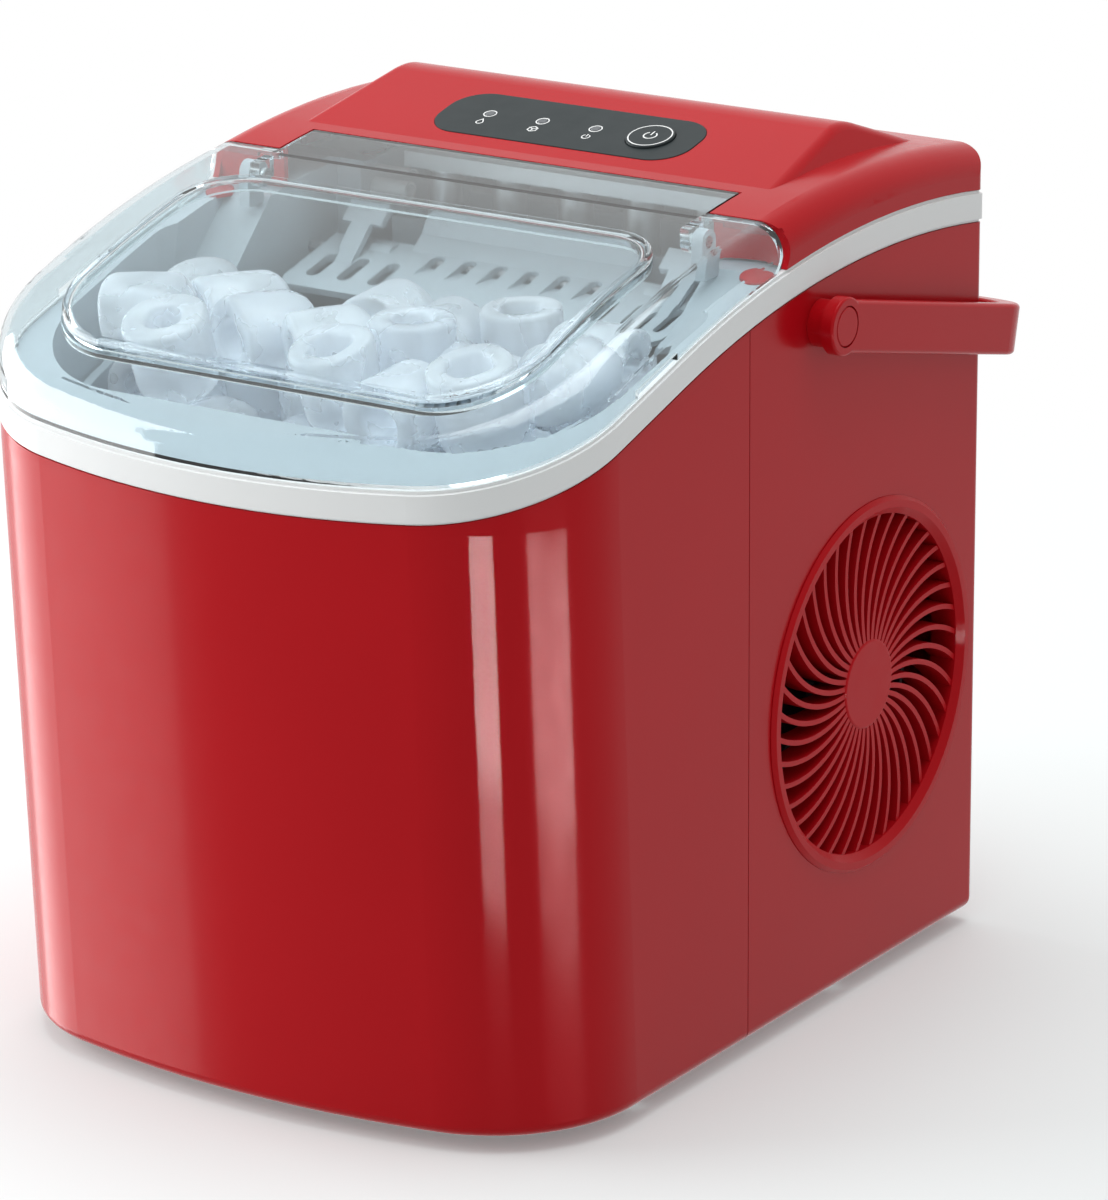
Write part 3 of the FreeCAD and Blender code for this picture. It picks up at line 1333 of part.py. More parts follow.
def fan_shroud():
    """Ring round the fan with three spokes that hold the motor, standing on a foot."""
    x0, x1 = fan_x - fan_depth / 2 - 2, fan_x + fan_depth / 2
    y, z = vent_y, vent_height
    r = fan_radius + 1.5
    ring = cylinder(r + shroud_thickness, (x0, y, z), (x1, y, z)).cut(cylinder(r, (x0 - 1, y, z), (x1 + 1, y, z)))
    x_back = x0 - 3.0
    collar = cylinder(fan_motor_radius + 3, (x_back - 8, y, z), (x_back, y, z))
    collar = collar.cut(cylinder(fan_motor_radius + 0.05, (x_back - 9, y, z), (x_back + 1, y, z)))
    pieces = [ring, collar]
    for i in range(3):
        spoke = box(x_back - 3, x_back, y - 3, y + 3, z + fan_motor_radius + 1, z + r + shroud_thickness)
        tab = box(x_back - 3, x0 + 2, y - 3, y + 3, z + r + 0.2, z + r + shroud_thickness)
        for piece in (spoke, tab):
            pieces.append(turned(piece, V(0, y, z), X_AXIS, 120 * i))
    leg = box(x0, x1, y - 16, y + 16, pan_top + 0.05, z - r - 0.5)
    leg = leg.cut(box(x0 - 1, x1 + 1, y - 12, y + 12, pan_top + 3, z - r - 6))
    leg = leg.cut(cylinder(r + 0.5, (x0 - 1, y, z), (x1 + 1, y, z)))
    return fused(pieces + [leg])


pump_x = -50.0
pump_y = 14.0
pump_radius = 15.0


def water_pump():
    z = pan_top + 0.05
    profile = [(0, z), (pump_radius, z), (pump_radius, z + 22), (pump_radius - 3, z + 24),
               (pump_radius - 3, z + 42), (5, z + 44), (hose_radius - 0.9, z + 44), (hose_radius - 0.9, z + 52),
               (0, z + 52)]
    body = revolved(profile, (pump_x, pump_y, 0), (0, 0, 1))
    inlet = cylinder(3.0, (pump_x, pump_y - pump_radius + 2, z + 12), (pump_x, pump_y - pump_radius - 7, z + 12))
    return fused([body, inlet])


def pump_hose():
    z = pan_top + 0.05 + 44.3
    route = [(pump_x, pump_y, z), (pump_x, pump_y, 160), (hose_x, pump_y, 160), (hose_x, spout_y, 160),
             (hose_x, spout_y, spout_z), (-2 * finger_pitch - 8, spout_y, spout_z)]
    outer = tube(route, hose_radius, 9)
    inner = tube(route, hose_radius - 0.85, 9)
    return outer.cut(inner)


hose_x = -93.0


# ---------------------------------------------------------------- control panel
def on_ramp(shape):
    """Place a piece built flat (+Y up the ramp, +Z out of it) on the hump's ramp."""
    piece = turned(shape, V(0, 0, 0), X_AXIS, hump_ramp_angle)
    return moved(piece, 0, hump_foot_y, hump_foot_z)


panel_middle = panel_start + panel_depth / 2
lens_middle = panel_middle + lens_above_middle
board_depth = 6.4
board_thickness = 1.6


def panel_solid(grow, bottom, top):
    outline = rounded_rectangle(panel_width / 2 + grow, panel_start - grow, panel_start + panel_depth + grow,
                                panel_radius + grow, panel_radius + grow, bottom)
    return prism(outline, top - bottom)


def panel_holes(grow, bottom, top):
    holes = [cylinder(button_radius + button_clearance + grow, (button_x, panel_middle, bottom),
                      (button_x, panel_middle, top))]
    for i in range(3):
        x = lens_first_x + i * lens_pitch
        holes.append(cylinder(lens_radius + 0.05 + grow, (x, lens_middle, bottom), (x, lens_middle, top)))
    return holes


def control_panel():
    panel = panel_solid(0, -panel_thickness, 0.25)
    panel = rounded(panel, 0.2, lambda m, e: abs(m.z - 0.25) < 0.01)
    return on_ramp(panel.cut(panel_holes(0, -5, 5)))


def indicator_lenses():
    lenses = []
    for i in range(3):
        x = lens_first_x + i * lens_pitch
        lens = cylinder(lens_radius, (x, lens_middle, -cover_wall - 1.5), (x, lens_middle, 0.55))
        lenses.append(on_ramp(rounded(lens, 0.4, lambda m, e: abs(m.z - 0.55) < 0.01)))
    return lenses


def power_button():
    cap = cylinder(button_radius, (button_x, panel_middle, -cover_wall - button_travel - 0.9),
                   (button_x, panel_middle, 0.25 + button_travel))
    cap = rounded(cap, 0.5, lambda m, e: abs(m.z - 0.25 - button_travel) < 0.01)
    flange = cylinder(button_radius + 1.6, (button_x, panel_middle, -cover_wall - 1.0),
                      (button_x, panel_middle, -cover_wall - 0.1))
    stem = cylinder(2.0, (button_x, panel_middle, -board_depth + 1.0), (button_x, panel_middle, -cover_wall))
    return on_ramp(fused([cap, flange, stem]))


def control_board():
    z1 = -board_depth
    board = box(-panel_width / 2 + 2, panel_width / 2 - 2, panel_start + 2, panel_start + panel_depth - 2,
                z1 - board_thickness, z1)
    pieces = [board]
    for i in range(3):
        x = lens_first_x + i * lens_pitch
        pieces.append(cylinder(1.5, (x, lens_middle, z1 - 0.2), (x, lens_middle, -cover_wall - 1.6)))
    pieces.append(box(-20, -8, panel_middle + 2, panel_middle + 10, z1 - 0.2, z1 + 1.6))
    return on_ramp(fused(pieces))


def top_cover():
    cover = cover_shell()
    pocket = panel_solid(0.15, -panel_thickness - 0.02, 6)
    standoffs = []
    for x in (-panel_width / 2 + 7, panel_width / 2 - 5):
        standoffs.append(on_ramp(cylinder(2.2, (x, panel_start + 5, -board_depth + 0.02),
                                          (x, panel_start + 5, -panel_thickness - 0.5))))
    tabs = []
    for y in (69.0, 112.0):
        base = deck_height(y)
        tabs += both_sides(box(half_width - cover_wall - 2.2, half_width - cover_wall + 0.1, y - 7, y + 7,
                               base - trim_height * 0.2, base + 6))
    cover = fused([cover] + standoffs + tabs)
    cuts = [on_ramp(pocket)] + [on_ramp(h) for h in panel_holes(0, -8, 3)]
    cuts.append(cylinder(ear_sweep, (-half_width - 1, hinge_y, hinge_z), (half_width + 1, hinge_y, hinge_z)))
    inner = tongue_half_width + tongue_side_gap
    cuts.append(cylinder(tongue_sweep, (-inner, hinge_y, hinge_z), (inner, hinge_y, hinge_z)))
    return cover.cut(cuts)


power_board_x = 93.0


def power_board():
    board = box(power_board_x, power_board_x + board_thickness, -5.0, 19.5, 36.0, 112.0)
    x = power_board_x
    parts = [board]
    for y, z, h, w in ((2.0, 50.0, 14.0, 7.0), (1.0, 76.0, 10.0, 9.0), (8.0, 100.0, 8.0, 5.0)):
        parts.append(box(x - h, x + 0.1, y, y + w + 4, z, z + w))
    parts.append(cylinder(4.0, (x - 12, 12.0, 66.0), (x + 0.1, 12.0, 66.0)))
    parts.append(box(x, x + board_thickness, 0.0, 14.0, pan_top + 0.05, 37.0))
    return fused(parts)


def cord_inlet():
    """Threaded gland for the mains lead in the rear wall, with its nut inside."""
    y_out = rear_y
    y_in = rear_y - shell_wall
    profile = [(3.2, -3.0), (7.5, -3.0), (9.0, -1.5), (9.0, -0.05), (gland_radius - 0.1, -0.05),
               (gland_radius - 0.1, shell_wall + 0.05), (9.5, shell_wall + 0.05), (9.5, shell_wall + 4.0),
               (gland_radius - 0.1, shell_wall + 4.0), (gland_radius - 0.1, shell_wall + 8.0),
               (3.2, shell_wall + 8.0)]
    gland = revolved(profile, (0, 0, 0), (0, 1, 0))
    gland = gland.mirror(V(0, 0, 0), Y_AXIS)
    return moved(gland, gland_x, y_out, gland_height)


# ---------------------------------------------------------------- write the pieces
NODES = {
    "base_pan": base_pan,
    "rubber_feet": rubber_feet,
    "base_screws": base_screws,
    "front_shell": front_shell,
    "rear_housing": rear_housing,
    "trim_band": trim_band,
    "top_cover": top_cover,
    "control_panel": control_panel,
    "indicator_lenses": indicator_lenses,
    "power_button": power_button,
    "control_board": control_board,
    "power_board": power_board,
    "side_grille_right": side_grille_right,
    "side_grille_left": side_grille_left,
    "cord_inlet": cord_inlet,
    "handle": handle,
    "handle_pivots": handle_pivots,
    "lid": lid,
    "hinge_pins": hinge_pins,
    "deck_plugs": deck_plugs,
    "inner_tub": inner_tub,
    "tub_insulation": tub_insulation,
    "ice_basket": ice_basket,
    "ice_shovel": ice_shovel,
    "shovel_rod": shovel_rod,
    "evaporator": evaporator,
    "water_tray": water_tray,
    "tray_motor": tray_motor,
    "compressor": compressor,
    "compressor_mounts": compressor_mounts,
    "suction_pipe": suction_pipe,
    "discharge_pipe": discharge_pipe,
    "condenser": condenser,
    "filter_drier": filter_drier,
    "fan_rotor": fan_rotor,
    "fan_motor": fan_motor,
    "fan_shroud": fan_shroud,
    "water_pump": water_pump,
    "pump_hose": pump_hose,
    "drain_hose": drain_hose,
    "drain_plug": drain_plug,
}

os.makedirs("parts", exist_ok=True)
pieces = {}
for name, build in NODES.items():
    made = build()
    pieces[name] = Part.makeCompound(made) if isinstance(made, list) else made
spans = [pieces[name].optimalBoundingBox() for name in ("trim_band", "handle")]
middle_y = (min(b.YMin for b in spans) + max(b.YMax for b in spans)) / 2
for name, shape in pieces.items():
    shape.translate(V(0, -middle_y, 0))
    shape.exportStep("parts/" + name + ".step")
    print(name, len(shape.Solids), "solid(s)")
print("middle of the overall depth was at", round(middle_y, 4))
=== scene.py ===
import bpy
import bmesh
import math
import random
from mathutils import Matrix, Vector
from mathutils.bvhtree import BVHTree


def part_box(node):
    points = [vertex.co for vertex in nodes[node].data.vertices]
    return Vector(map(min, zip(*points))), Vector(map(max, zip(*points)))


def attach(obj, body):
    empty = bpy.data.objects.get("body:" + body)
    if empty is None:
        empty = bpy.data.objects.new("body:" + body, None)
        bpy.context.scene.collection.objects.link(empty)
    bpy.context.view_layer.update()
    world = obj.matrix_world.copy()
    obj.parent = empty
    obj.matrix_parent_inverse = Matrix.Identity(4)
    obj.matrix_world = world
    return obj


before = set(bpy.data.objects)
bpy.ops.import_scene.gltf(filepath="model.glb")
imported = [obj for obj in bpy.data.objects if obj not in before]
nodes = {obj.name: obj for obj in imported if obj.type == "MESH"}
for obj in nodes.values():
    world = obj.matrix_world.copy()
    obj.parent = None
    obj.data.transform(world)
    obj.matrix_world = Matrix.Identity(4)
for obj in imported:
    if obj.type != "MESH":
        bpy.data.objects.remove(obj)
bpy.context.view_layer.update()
scene = bpy.context.scene
print("frame loaded:", len(nodes), "CAD nodes")


def addObject(name, data):
    holder = bpy.data.objects.new(name, data)
    scene.collection.objects.link(holder)
    return holder


def meshFrom(form, name):
    mesh = bpy.data.meshes.new(name)
    form.to_mesh(mesh)
    form.free()
    return mesh


def aimed(place, aim, roll=0.0):
    turn = (Vector(aim) - Vector(place)).to_track_quat("-Z", "Y").to_matrix().to_4x4()
    return Matrix.Translation(Vector(place)) @ turn @ Matrix.Rotation(math.radians(roll), 4, "Z")


# camera: a long lens well back, so that the sides stay nearly parallel
cameraSetup = {
    "place": (1.011, -1.4715, 0.705),
    "aim": (0.044, -0.0245, 0.145),
    "roll": -0.45,                      # degrees
    "lens": 172.56,                     # millimetres, on the sensor below
    "sensor": 36,
    "nearest": 0.05,
    "furthest": 30,
}


def makeCamera():
    data = bpy.data.cameras.new("viewCamera")
    data.lens = cameraSetup["lens"]
    data.sensor_width = cameraSetup["sensor"]
    data.clip_start = cameraSetup["nearest"]
    data.clip_end = cameraSetup["furthest"]
    camera = addObject("viewCamera", data)
    camera.matrix_world = aimed(cameraSetup["place"], cameraSetup["aim"], cameraSetup["roll"])
    scene.camera = camera


# lamps, each aimed at the machine's own upright axis
# bearing: degrees round from the front towards the right
# glow: how bright the lamp looks in a reflection, where 1 is white
# the strips stand below the floor's level and show only as upright glints on the front corner
lampSetup = {
    "topLamp": {"bearing": 150, "away": 0.2, "height": 2.1, "aimHeight": 0.15,
                "size": (1.8, 1.4), "glow": 3.0},
    "leftLamp": {"bearing": -71, "away": 1.6, "height": 0.15, "aimHeight": 0.15,
                 "size": (1.8, 2.3), "glow": 5.0},
    "frontStrip": {"bearing": 37.6, "away": 1.6, "height": -0.425, "aimHeight": -0.425,
                   "size": (0.40, 0.19), "glow": 170.0},
    "frontStripLow": {"bearing": 37.6, "away": 1.6, "height": -0.56, "aimHeight": -0.56,
                      "size": (0.38, 0.08), "glow": 55.0},
    "sideStrip": {"bearing": 80, "away": 1.6, "height": -0.425, "aimHeight": -0.425,
                  "size": (0.76, 0.19), "glow": 48.0},
    "sideStripLow": {"bearing": 80, "away": 1.6, "height": -0.56, "aimHeight": -0.56,
                     "size": (0.72, 0.08), "glow": 16.0},
}


def makeLamps():
    for name, lamp in lampSetup.items():
        data = bpy.data.lights.new(name, "AREA")
        data.shape = "RECTANGLE"
        data.size, data.size_y = lamp["size"]
        data.energy = lamp["glow"] * math.pi * data.size * data.size_y
        bearing = math.radians(lamp["bearing"])
        place = (math.sin(bearing) * lamp["away"], -math.cos(bearing) * lamp["away"],
                 lamp["height"])
        addObject(name, data).matrix_world = aimed(place, (0, 0, lamp["aimHeight"]))


def addNode(tree, kind, **settings):
    node = tree.nodes.new(kind)
    for key, value in settings.items():
        setattr(node, key, value)
    return node


def addGlow(tree, kind, strength):
    node = addNode(tree, kind)
    node.inputs["Color"].default_value = (1, 1, 1, 1)
    node.inputs["Strength"].default_value = strength
    return node.outputs[0]


def eitherOf(tree, first, second):
    node = addNode(tree, "ShaderNodeMath", operation="MAXIMUM")
    tree.links.new(first, node.inputs[0])
    tree.links.new(second, node.inputs[1])
    return node.outputs[0]


def mixShaders(tree, factor, first, second):
    node = addNode(tree, "ShaderNodeMixShader")
    tree.links.new(factor, node.inputs["Fac"])
    tree.links.new(first, node.inputs[1])
    tree.links.new(second, node.inputs[2])
    return node.outputs[0]


# room: white all round, over a pale floor that fades into it
roomSetup = {
    "sky": 0.60,                        # soft light that falls from all round
    "floor": (0.63, 0.67, 0.67),
    "floorRough": 0.9,
    "floorLift": 0.19,                  # added to the floor as it is seen, not to its light
    "floorHalf": 8.0,
    "clearFrom": 0.30,                  # the floor goes from its own tone to plain white
    "clearTo": 0.75,                    # between these distances from the middle
}


def makeWorld():
    world = bpy.data.worlds.new("studioWorld")
    scene.world = world
    world.use_nodes = True
    tree = world.node_tree
    tree.nodes.clear()
    out = addNode(tree, "ShaderNodeOutputWorld")
    seen = addGlow(tree, "ShaderNodeBackground", 1.0)
    fill = addGlow(tree, "ShaderNodeBackground", roomSetup["sky"])
    path = addNode(tree, "ShaderNodeLightPath").outputs
    direct = eitherOf(tree, path["Is Camera Ray"], path["Is Transmission Ray"])
    direct = eitherOf(tree, direct, path["Is Glossy Ray"])
    tree.links.new(mixShaders(tree, direct, fill, seen), out.inputs["Surface"])


def floorFinish():
    finish = bpy.data.materials.new("paleFloor")
    finish.use_nodes = True
    tree = finish.node_tree
    shader = tree.nodes["Principled BSDF"]
    shader.inputs["Base Color"].default_value = (*roomSetup["floor"], 1)
    shader.inputs["Roughness"].default_value = roomSetup["floorRough"]
    shader.inputs["Specular IOR Level"].default_value = 0.0
    lifted = addNode(tree, "ShaderNodeAddShader")
    tree.links.new(shader.outputs[0], lifted.inputs[0])
    tree.links.new(addGlow(tree, "ShaderNodeEmission", roomSetup["floorLift"]), lifted.inputs[1])
    where = addNode(tree, "ShaderNodeTexCoord").outputs["Object"]
    distance = addNode(tree, "ShaderNodeVectorMath", operation="LENGTH")
    tree.links.new(where, distance.inputs[0])
    far = addNode(tree, "ShaderNodeMapRange", interpolation_type="SMOOTHSTEP")
    far.inputs["From Min"].default_value = roomSetup["clearFrom"]
    far.inputs["From Max"].default_value = roomSetup["clearTo"]
    tree.links.new(distance.outputs["Value"], far.inputs["Value"])
    white = addGlow(tree, "ShaderNodeEmission", 1.0)
    seen = mixShaders(tree, far.outputs["Result"], lifted.outputs[0], white)
    path = addNode(tree, "ShaderNodeLightPath").outputs
    direct = eitherOf(tree, path["Is Camera Ray"], path["Is Transmission Ray"])
    solid = mixShaders(tree, direct, shader.outputs[0], seen)
    clear = addNode(tree, "ShaderNodeBsdfTransparent").outputs[0]      # for reflections
    tree.links.new(mixShaders(tree, path["Is Glossy Ray"], solid, clear),
                   tree.nodes["Material Output"].inputs["Surface"])
    return finish


def makeFloor():
    half = roomSetup["floorHalf"]
    form = bmesh.new()
    form.faces.new([form.verts.new((x * half, y * half, 0))
                    for x, y in ((-1, -1), (1, -1), (1, 1), (-1, 1))])
    mesh = meshFrom(form, "studioFloor")
    mesh.materials.append(floorFinish())
    addObject("studioFloor", mesh)


makeCamera()
makeLamps()
makeWorld()
makeFloor()
scene.view_settings.view_transform = "Standard"
print("camera, lamps and floor made")


# finishes
noiseSpan = (0.25, 0.75)                # nearly all of the noise lies between these
evenStretch = (1, 1, 1)


def startFinish(name, colour, rough, **more):
    finish = bpy.data.materials.new(name)
    finish.use_nodes = True
    shader = finish.node_tree.nodes["Principled BSDF"]
    shader.inputs["Base Color"].default_value = (*colour, 1)
    shader.inputs["Roughness"].default_value = rough
    for socket, value in more.items():
        shader.inputs[socket.replace("_", " ")].default_value = value
    return finish, finish.node_tree, shader


def noiseOf(tree, scale, detail, rough=0.5, stretch=evenStretch):
    where = addNode(tree, "ShaderNodeTexCoord").outputs["Object"]
    if stretch != evenStretch:
        mapping = addNode(tree, "ShaderNodeMapping")
        mapping.inputs["Scale"].default_value = stretch
        tree.links.new(where, mapping.inputs["Vector"])
        where = mapping.outputs["Vector"]
    node = addNode(tree, "ShaderNodeTexNoise")
    node.inputs["Scale"].default_value = scale
    node.inputs["Detail"].default_value = detail
    node.inputs["Roughness"].default_value = rough
    tree.links.new(where, node.inputs["Vector"])
    return node.outputs["Fac"]


def varyValue(tree, shader, socket, noise, middle, spread):
    # the socket's value wanders below and above its middle with the noise
    node = addNode(tree, "ShaderNodeMapRange")
    node.inputs["From Min"].default_value, node.inputs["From Max"].default_value = noiseSpan
    node.inputs["To Min"].default_value = middle + spread[0]
    node.inputs["To Max"].default_value = middle + spread[1]
    tree.links.new(noise, node.inputs["Value"])
    tree.links.new(node.outputs["Result"], shader.inputs[socket])


def varyColour(tree, shader, noise, first, second):
    node = addNode(tree, "ShaderNodeMix", data_type="RGBA")
    node.inputs["A"].default_value = (*first, 1)
    node.inputs["B"].default_value = (*second, 1)
    tree.links.new(noise, node.inputs["Factor"])
    tree.links.new(node.outputs["Result"], shader.inputs["Base Color"])


def addGrain(tree, shader, noise, strength, height):
    node = addNode(tree, "ShaderNodeBump")
    node.inputs["Strength"].default_value = strength
    node.inputs["Distance"].default_value = height
    tree.links.new(noise, node.inputs["Height"])
    tree.links.new(node.outputs["Normal"], shader.inputs["Normal"])


def letLightThrough(tree, shader, tint):
    # a clear piece throws a thin tinted shadow in place of a dark one
    clear = addNode(tree, "ShaderNodeBsdfTransparent")
    clear.inputs["Color"].default_value = (*tint, 1)
    shadow = addNode(tree, "ShaderNodeLightPath").outputs["Is Shadow Ray"]
    out = tree.nodes["Material Output"]
    tree.links.new(mixShaders(tree, shadow, shader.outputs[0], clear.outputs[0]),
                   out.inputs["Surface"])


# glossy red casing
redSetup = {
    "colour": (0.43, 0.0040, 0.0085),
    "deep": (0.37, 0.0030, 0.0065),
    "toneScale": 9,                     # slow shift in the pigment
    "glint": (1.0, 0.36, 0.37, 1),
    "shine": 0.14,
    "coat": 0.06,
    "coatRough": 0.08,
    "hazeScale": 160,                   # faint haze of handling
    "haze": (-0.03, 0.05),
    "grainScale": 1400,                 # fine moulding texture
    "grain": 0.06,
    "grainHeight": 0.00012,
}


def redPlastic(name, rough):
    look = redSetup
    finish, tree, shader = startFinish(name, look["colour"], rough, Coat_Weight=look["coat"],
                                       Coat_Roughness=look["coatRough"],
                                       Specular_Tint=look["glint"],
                                       Specular_IOR_Level=look["shine"])
    tone = noiseOf(tree, look["toneScale"], detail=2)
    haze = noiseOf(tree, look["hazeScale"], detail=4)
    grain = noiseOf(tree, look["grainScale"], detail=2)
    varyColour(tree, shader, tone, look["colour"], look["deep"])
    varyValue(tree, shader, "Roughness", haze, rough, look["haze"])
    addGrain(tree, shader, grain, look["grain"], look["grainHeight"])
    return finish


# the other moulded pieces, each with its own grain; tone darkens the colour in patches
mouldedSetup = {"toneScale": 14, "hazeScale": 120, "haze": (-0.05, 0.08), "grainHeight": 0.0002}


def mouldedPlastic(name, colour, rough, grainScale=700, grain=0.12, tone=0.9, **more):
    look = mouldedSetup
    finish, tree, shader = startFinish(name, colour, rough, **more)
    darker = tuple(part * tone for part in colour)
    haze = noiseOf(tree, look["hazeScale"], detail=4)
    varyColour(tree, shader, noiseOf(tree, look["toneScale"], detail=3), colour, darker)
    varyValue(tree, shader, "Roughness", haze, rough, look["haze"])
    addGrain(tree, shader, noiseOf(tree, grainScale, detail=3), grain, look["grainHeight"])
    return finish


# bare metal inside the machine; a stretch draws the noise out into lines
metalSetup = {"toneScale": 30, "tone": 0.8, "hazeScale": 220, "haze": (-0.08, 0.12),
              "grainScale": 500, "grain": 0.08, "grainHeight": 0.0002, "noiseRough": 0.6}


def metalFinish(name, colour, rough, stretch=evenStretch):
    look = metalSetup
    finish, tree, shader = startFinish(name, colour, rough, Metallic=1.0)
    darker = tuple(part * look["tone"] for part in colour)
    haze = noiseOf(tree, look["hazeScale"], 5, look["noiseRough"], stretch)
    grain = noiseOf(tree, look["grainScale"], 4, look["noiseRough"], stretch)
    varyColour(tree, shader, noiseOf(tree, look["toneScale"], detail=4), colour, darker)
    varyValue(tree, shader, "Roughness", haze, rough, look["haze"])
    addGrain(tree, shader, grain, look["grain"], look["grainHeight"])
    return finish


# clear lid, with a slight wave in the moulding
lidSetup = {
    "tint": (0.77, 0.85, 0.875),
    "rough": 0.02,
    "ior": 1.46,
    "shadowTint": (0.90, 0.93, 0.94),
    "hazeScale": 90,
    "haze": (-0.01, 0.03),
    "waveScale": 45,
    "wave": 0.02,
    "waveHeight": 0.0004,
}


def clearPlastic(name):
    look = lidSetup
    finish, tree, shader = startFinish(name, look["tint"], look["rough"],
                                       Transmission_Weight=1.0, IOR=look["ior"])
    haze = noiseOf(tree, look["hazeScale"], detail=4)
    wave = noiseOf(tree, look["waveScale"], detail=2)
    varyValue(tree, shader, "Roughness", haze, look["rough"], look["haze"])
    addGrain(tree, shader, wave, look["wave"], look["waveHeight"])
    letLightThrough(tree, shader, look["shadowTint"])
    return finish


# ice, cloudy in some places and clear in others
iceSetup = {
    "tint": (0.95, 0.96, 0.985),
    "rough": 0.27,
    "clearness": 0.64,
    "ior": 1.31,
    "shadowTint": (0.78, 0.82, 0.86),
    "cloudScale": 45,
    "cloud": (-0.16, 0.14),
    "frostScale": 60,
    "frost": (-0.08, 0.10),
    "grainScale": 330,
    "grain": 0.22,
    "grainHeight": 0.0004,
    "grainRough": 0.6,
}


def frostedIce(name):
    look = iceSetup
    finish, tree, shader = startFinish(name, look["tint"], look["rough"], IOR=look["ior"],
                                       Transmission_Weight=look["clearness"])
    cloud = noiseOf(tree, look["cloudScale"], detail=3)
    frost = noiseOf(tree, look["frostScale"], detail=3)
    grain = noiseOf(tree, look["grainScale"], 3, look["grainRough"])
    varyValue(tree, shader, "Transmission Weight", cloud, look["clearness"], look["cloud"])
    varyValue(tree, shader, "Roughness", frost, look["rough"], look["frost"])
    addGrain(tree, shader, grain, look["grain"], look["grainHeight"])
    letLightThrough(tree, shader, look["shadowTint"])
    return finish


finishes = {
    "red": redPlastic("redCasing", 0.22),
    "redDeep": redPlastic("redGrille", 0.40),
    "clear": clearPlastic("clearLid"),
    "ice": frostedIce("cloudyIce"),
    "trim": mouldedPlastic("whiteBand", (0.73, 0.735, 0.735), 0.38, grainScale=500, grain=0.05,
                           tone=0.97, Specular_IOR_Level=0.25),
    "liner": mouldedPlastic("greyLiner", (0.41, 0.455, 0.485), 0.42, grainScale=600, grain=0.08,
                            tone=0.96),
    "panel": mouldedPlastic("panelBlack", (0.026, 0.034, 0.036), 0.34, grainScale=900,
                            grain=0.02, Specular_IOR_Level=0.12),
    "lens": mouldedPlastic("lampLens", (0.10, 0.11, 0.12), 0.15, grainScale=900, grain=0.02,
                           tone=0.95),
    "print": mouldedPlastic("panelPrint", (0.80, 0.82, 0.82), 0.4, grainScale=900, grain=0.02,
                            tone=0.97),
    "pan": mouldedPlastic("darkPan", (0.05, 0.052, 0.056), 0.55),
    "black": mouldedPlastic("blackPlastic", (0.018, 0.018, 0.02), 0.45),
    "can": mouldedPlastic("compressorBlack", (0.012, 0.012, 0.013), 0.35, grainScale=260,
                          grain=0.3),
    "board": mouldedPlastic("boardGreen", (0.01, 0.11, 0.03), 0.35, grainScale=300, grain=0.2,
                            tone=0.6),
    "rubber": mouldedPlastic("blackRubber", (0.02, 0.02, 0.02), 0.7, grainScale=500, grain=0.3),
    "silicone": mouldedPlastic("milkHose", (0.62, 0.64, 0.63), 0.4, grainScale=400, grain=0.05,
                               tone=0.95),
    "foam": mouldedPlastic("foamJacket", (0.72, 0.69, 0.58), 0.9, grainScale=180, grain=0.8,
                           tone=0.85),
    "steel": metalFinish("brightSteel", (0.55, 0.55, 0.56), 0.28, stretch=(1, 1, 8)),
    "nickel": metalFinish("nickelFinger", (0.66, 0.66, 0.65), 0.34),
    "copper": metalFinish("copperPipe", (0.72, 0.32, 0.17), 0.28),
    "fin": metalFinish("finAluminium", (0.66, 0.67, 0.68), 0.35),
}
nodeFinish = {
    "red": ["front_shell", "rear_housing", "top_cover", "handle", "handle_pivots", "deck_plugs"],
    "redDeep": ["side_grille_right", "side_grille_left"],
    "clear": ["lid"],
    "trim": ["trim_band"],
    "liner": ["inner_tub", "ice_basket", "ice_shovel", "water_tray"],
    "panel": ["control_panel", "power_button"],
    "lens": ["indicator_lenses"],
    "pan": ["base_pan"],
    "black": ["cord_inlet", "fan_rotor", "fan_shroud", "water_pump", "tray_motor"],
    "can": ["compressor"],
    "board": ["control_board", "power_board"],
    "rubber": ["rubber_feet", "compressor_mounts", "drain_plug"],
    "silicone": ["pump_hose", "drain_hose"],
    "foam": ["tub_insulation"],
    "steel": ["base_screws", "hinge_pins", "shovel_rod", "fan_motor"],
    "nickel": ["evaporator"],
    "copper": ["suction_pipe", "discharge_pipe", "filter_drier"],
    "fin": ["condenser"],
}
for finishName, members in nodeFinish.items():
    for member in members:
        slots = nodes[member].data.materials
        slots.clear()
        slots.append(finishes[finishName])
print("finishes on", sum(len(members) for members in nodeFinish.values()), "nodes")


# one piece of ice: a short stub with a round end and the hollow that the cold finger leaves
bulletSetup = {
    "radius": 0.0138,
    "length": 0.0300,
    "bore": 0.0062,
    "boreDepth": 0.021,
    "boreShape": ((1, 0.55), (0.86, 0.85), (0.5, 0.97), (0, 1)),    # shares of bore and depth
    "flare": 1.12,                      # mouth of the bore, as a share of the bore
    "dome": 0.58,                       # height of the round end, as a share of the radius
    "rim": 0.13,                        # rounding of the rim, as a share of the radius
    "rimOutside": (0, 0.7, 1.3),        # radians over the rim
    "rimInside": (0.3, 0.9, math.pi / 2),
    "taper": 0.06,                      # how much slimmer the round end is
    "waistTaper": 0.4,                  # share of the taper that is left at the waist
    "waist": 0.6,                       # height of the waist, as a share of the length
    "segments": 26,
    "sizeRange": (0.94, 1.03),          # each piece's own radius, length and bore
    "lengthRange": (0.93, 1.05),
    "boreRange": (0.85, 1.15),
    "unevenness": 0.00035,              # soft waves round the piece
    "waves": 3,
    "waveCount": (2, 4),
    "waveSize": (0.4, 1),
    "waveTwist": 140,                   # radians for each metre up the piece
    "calmRadius": 0.006,                # the waves die away inside this radius
}


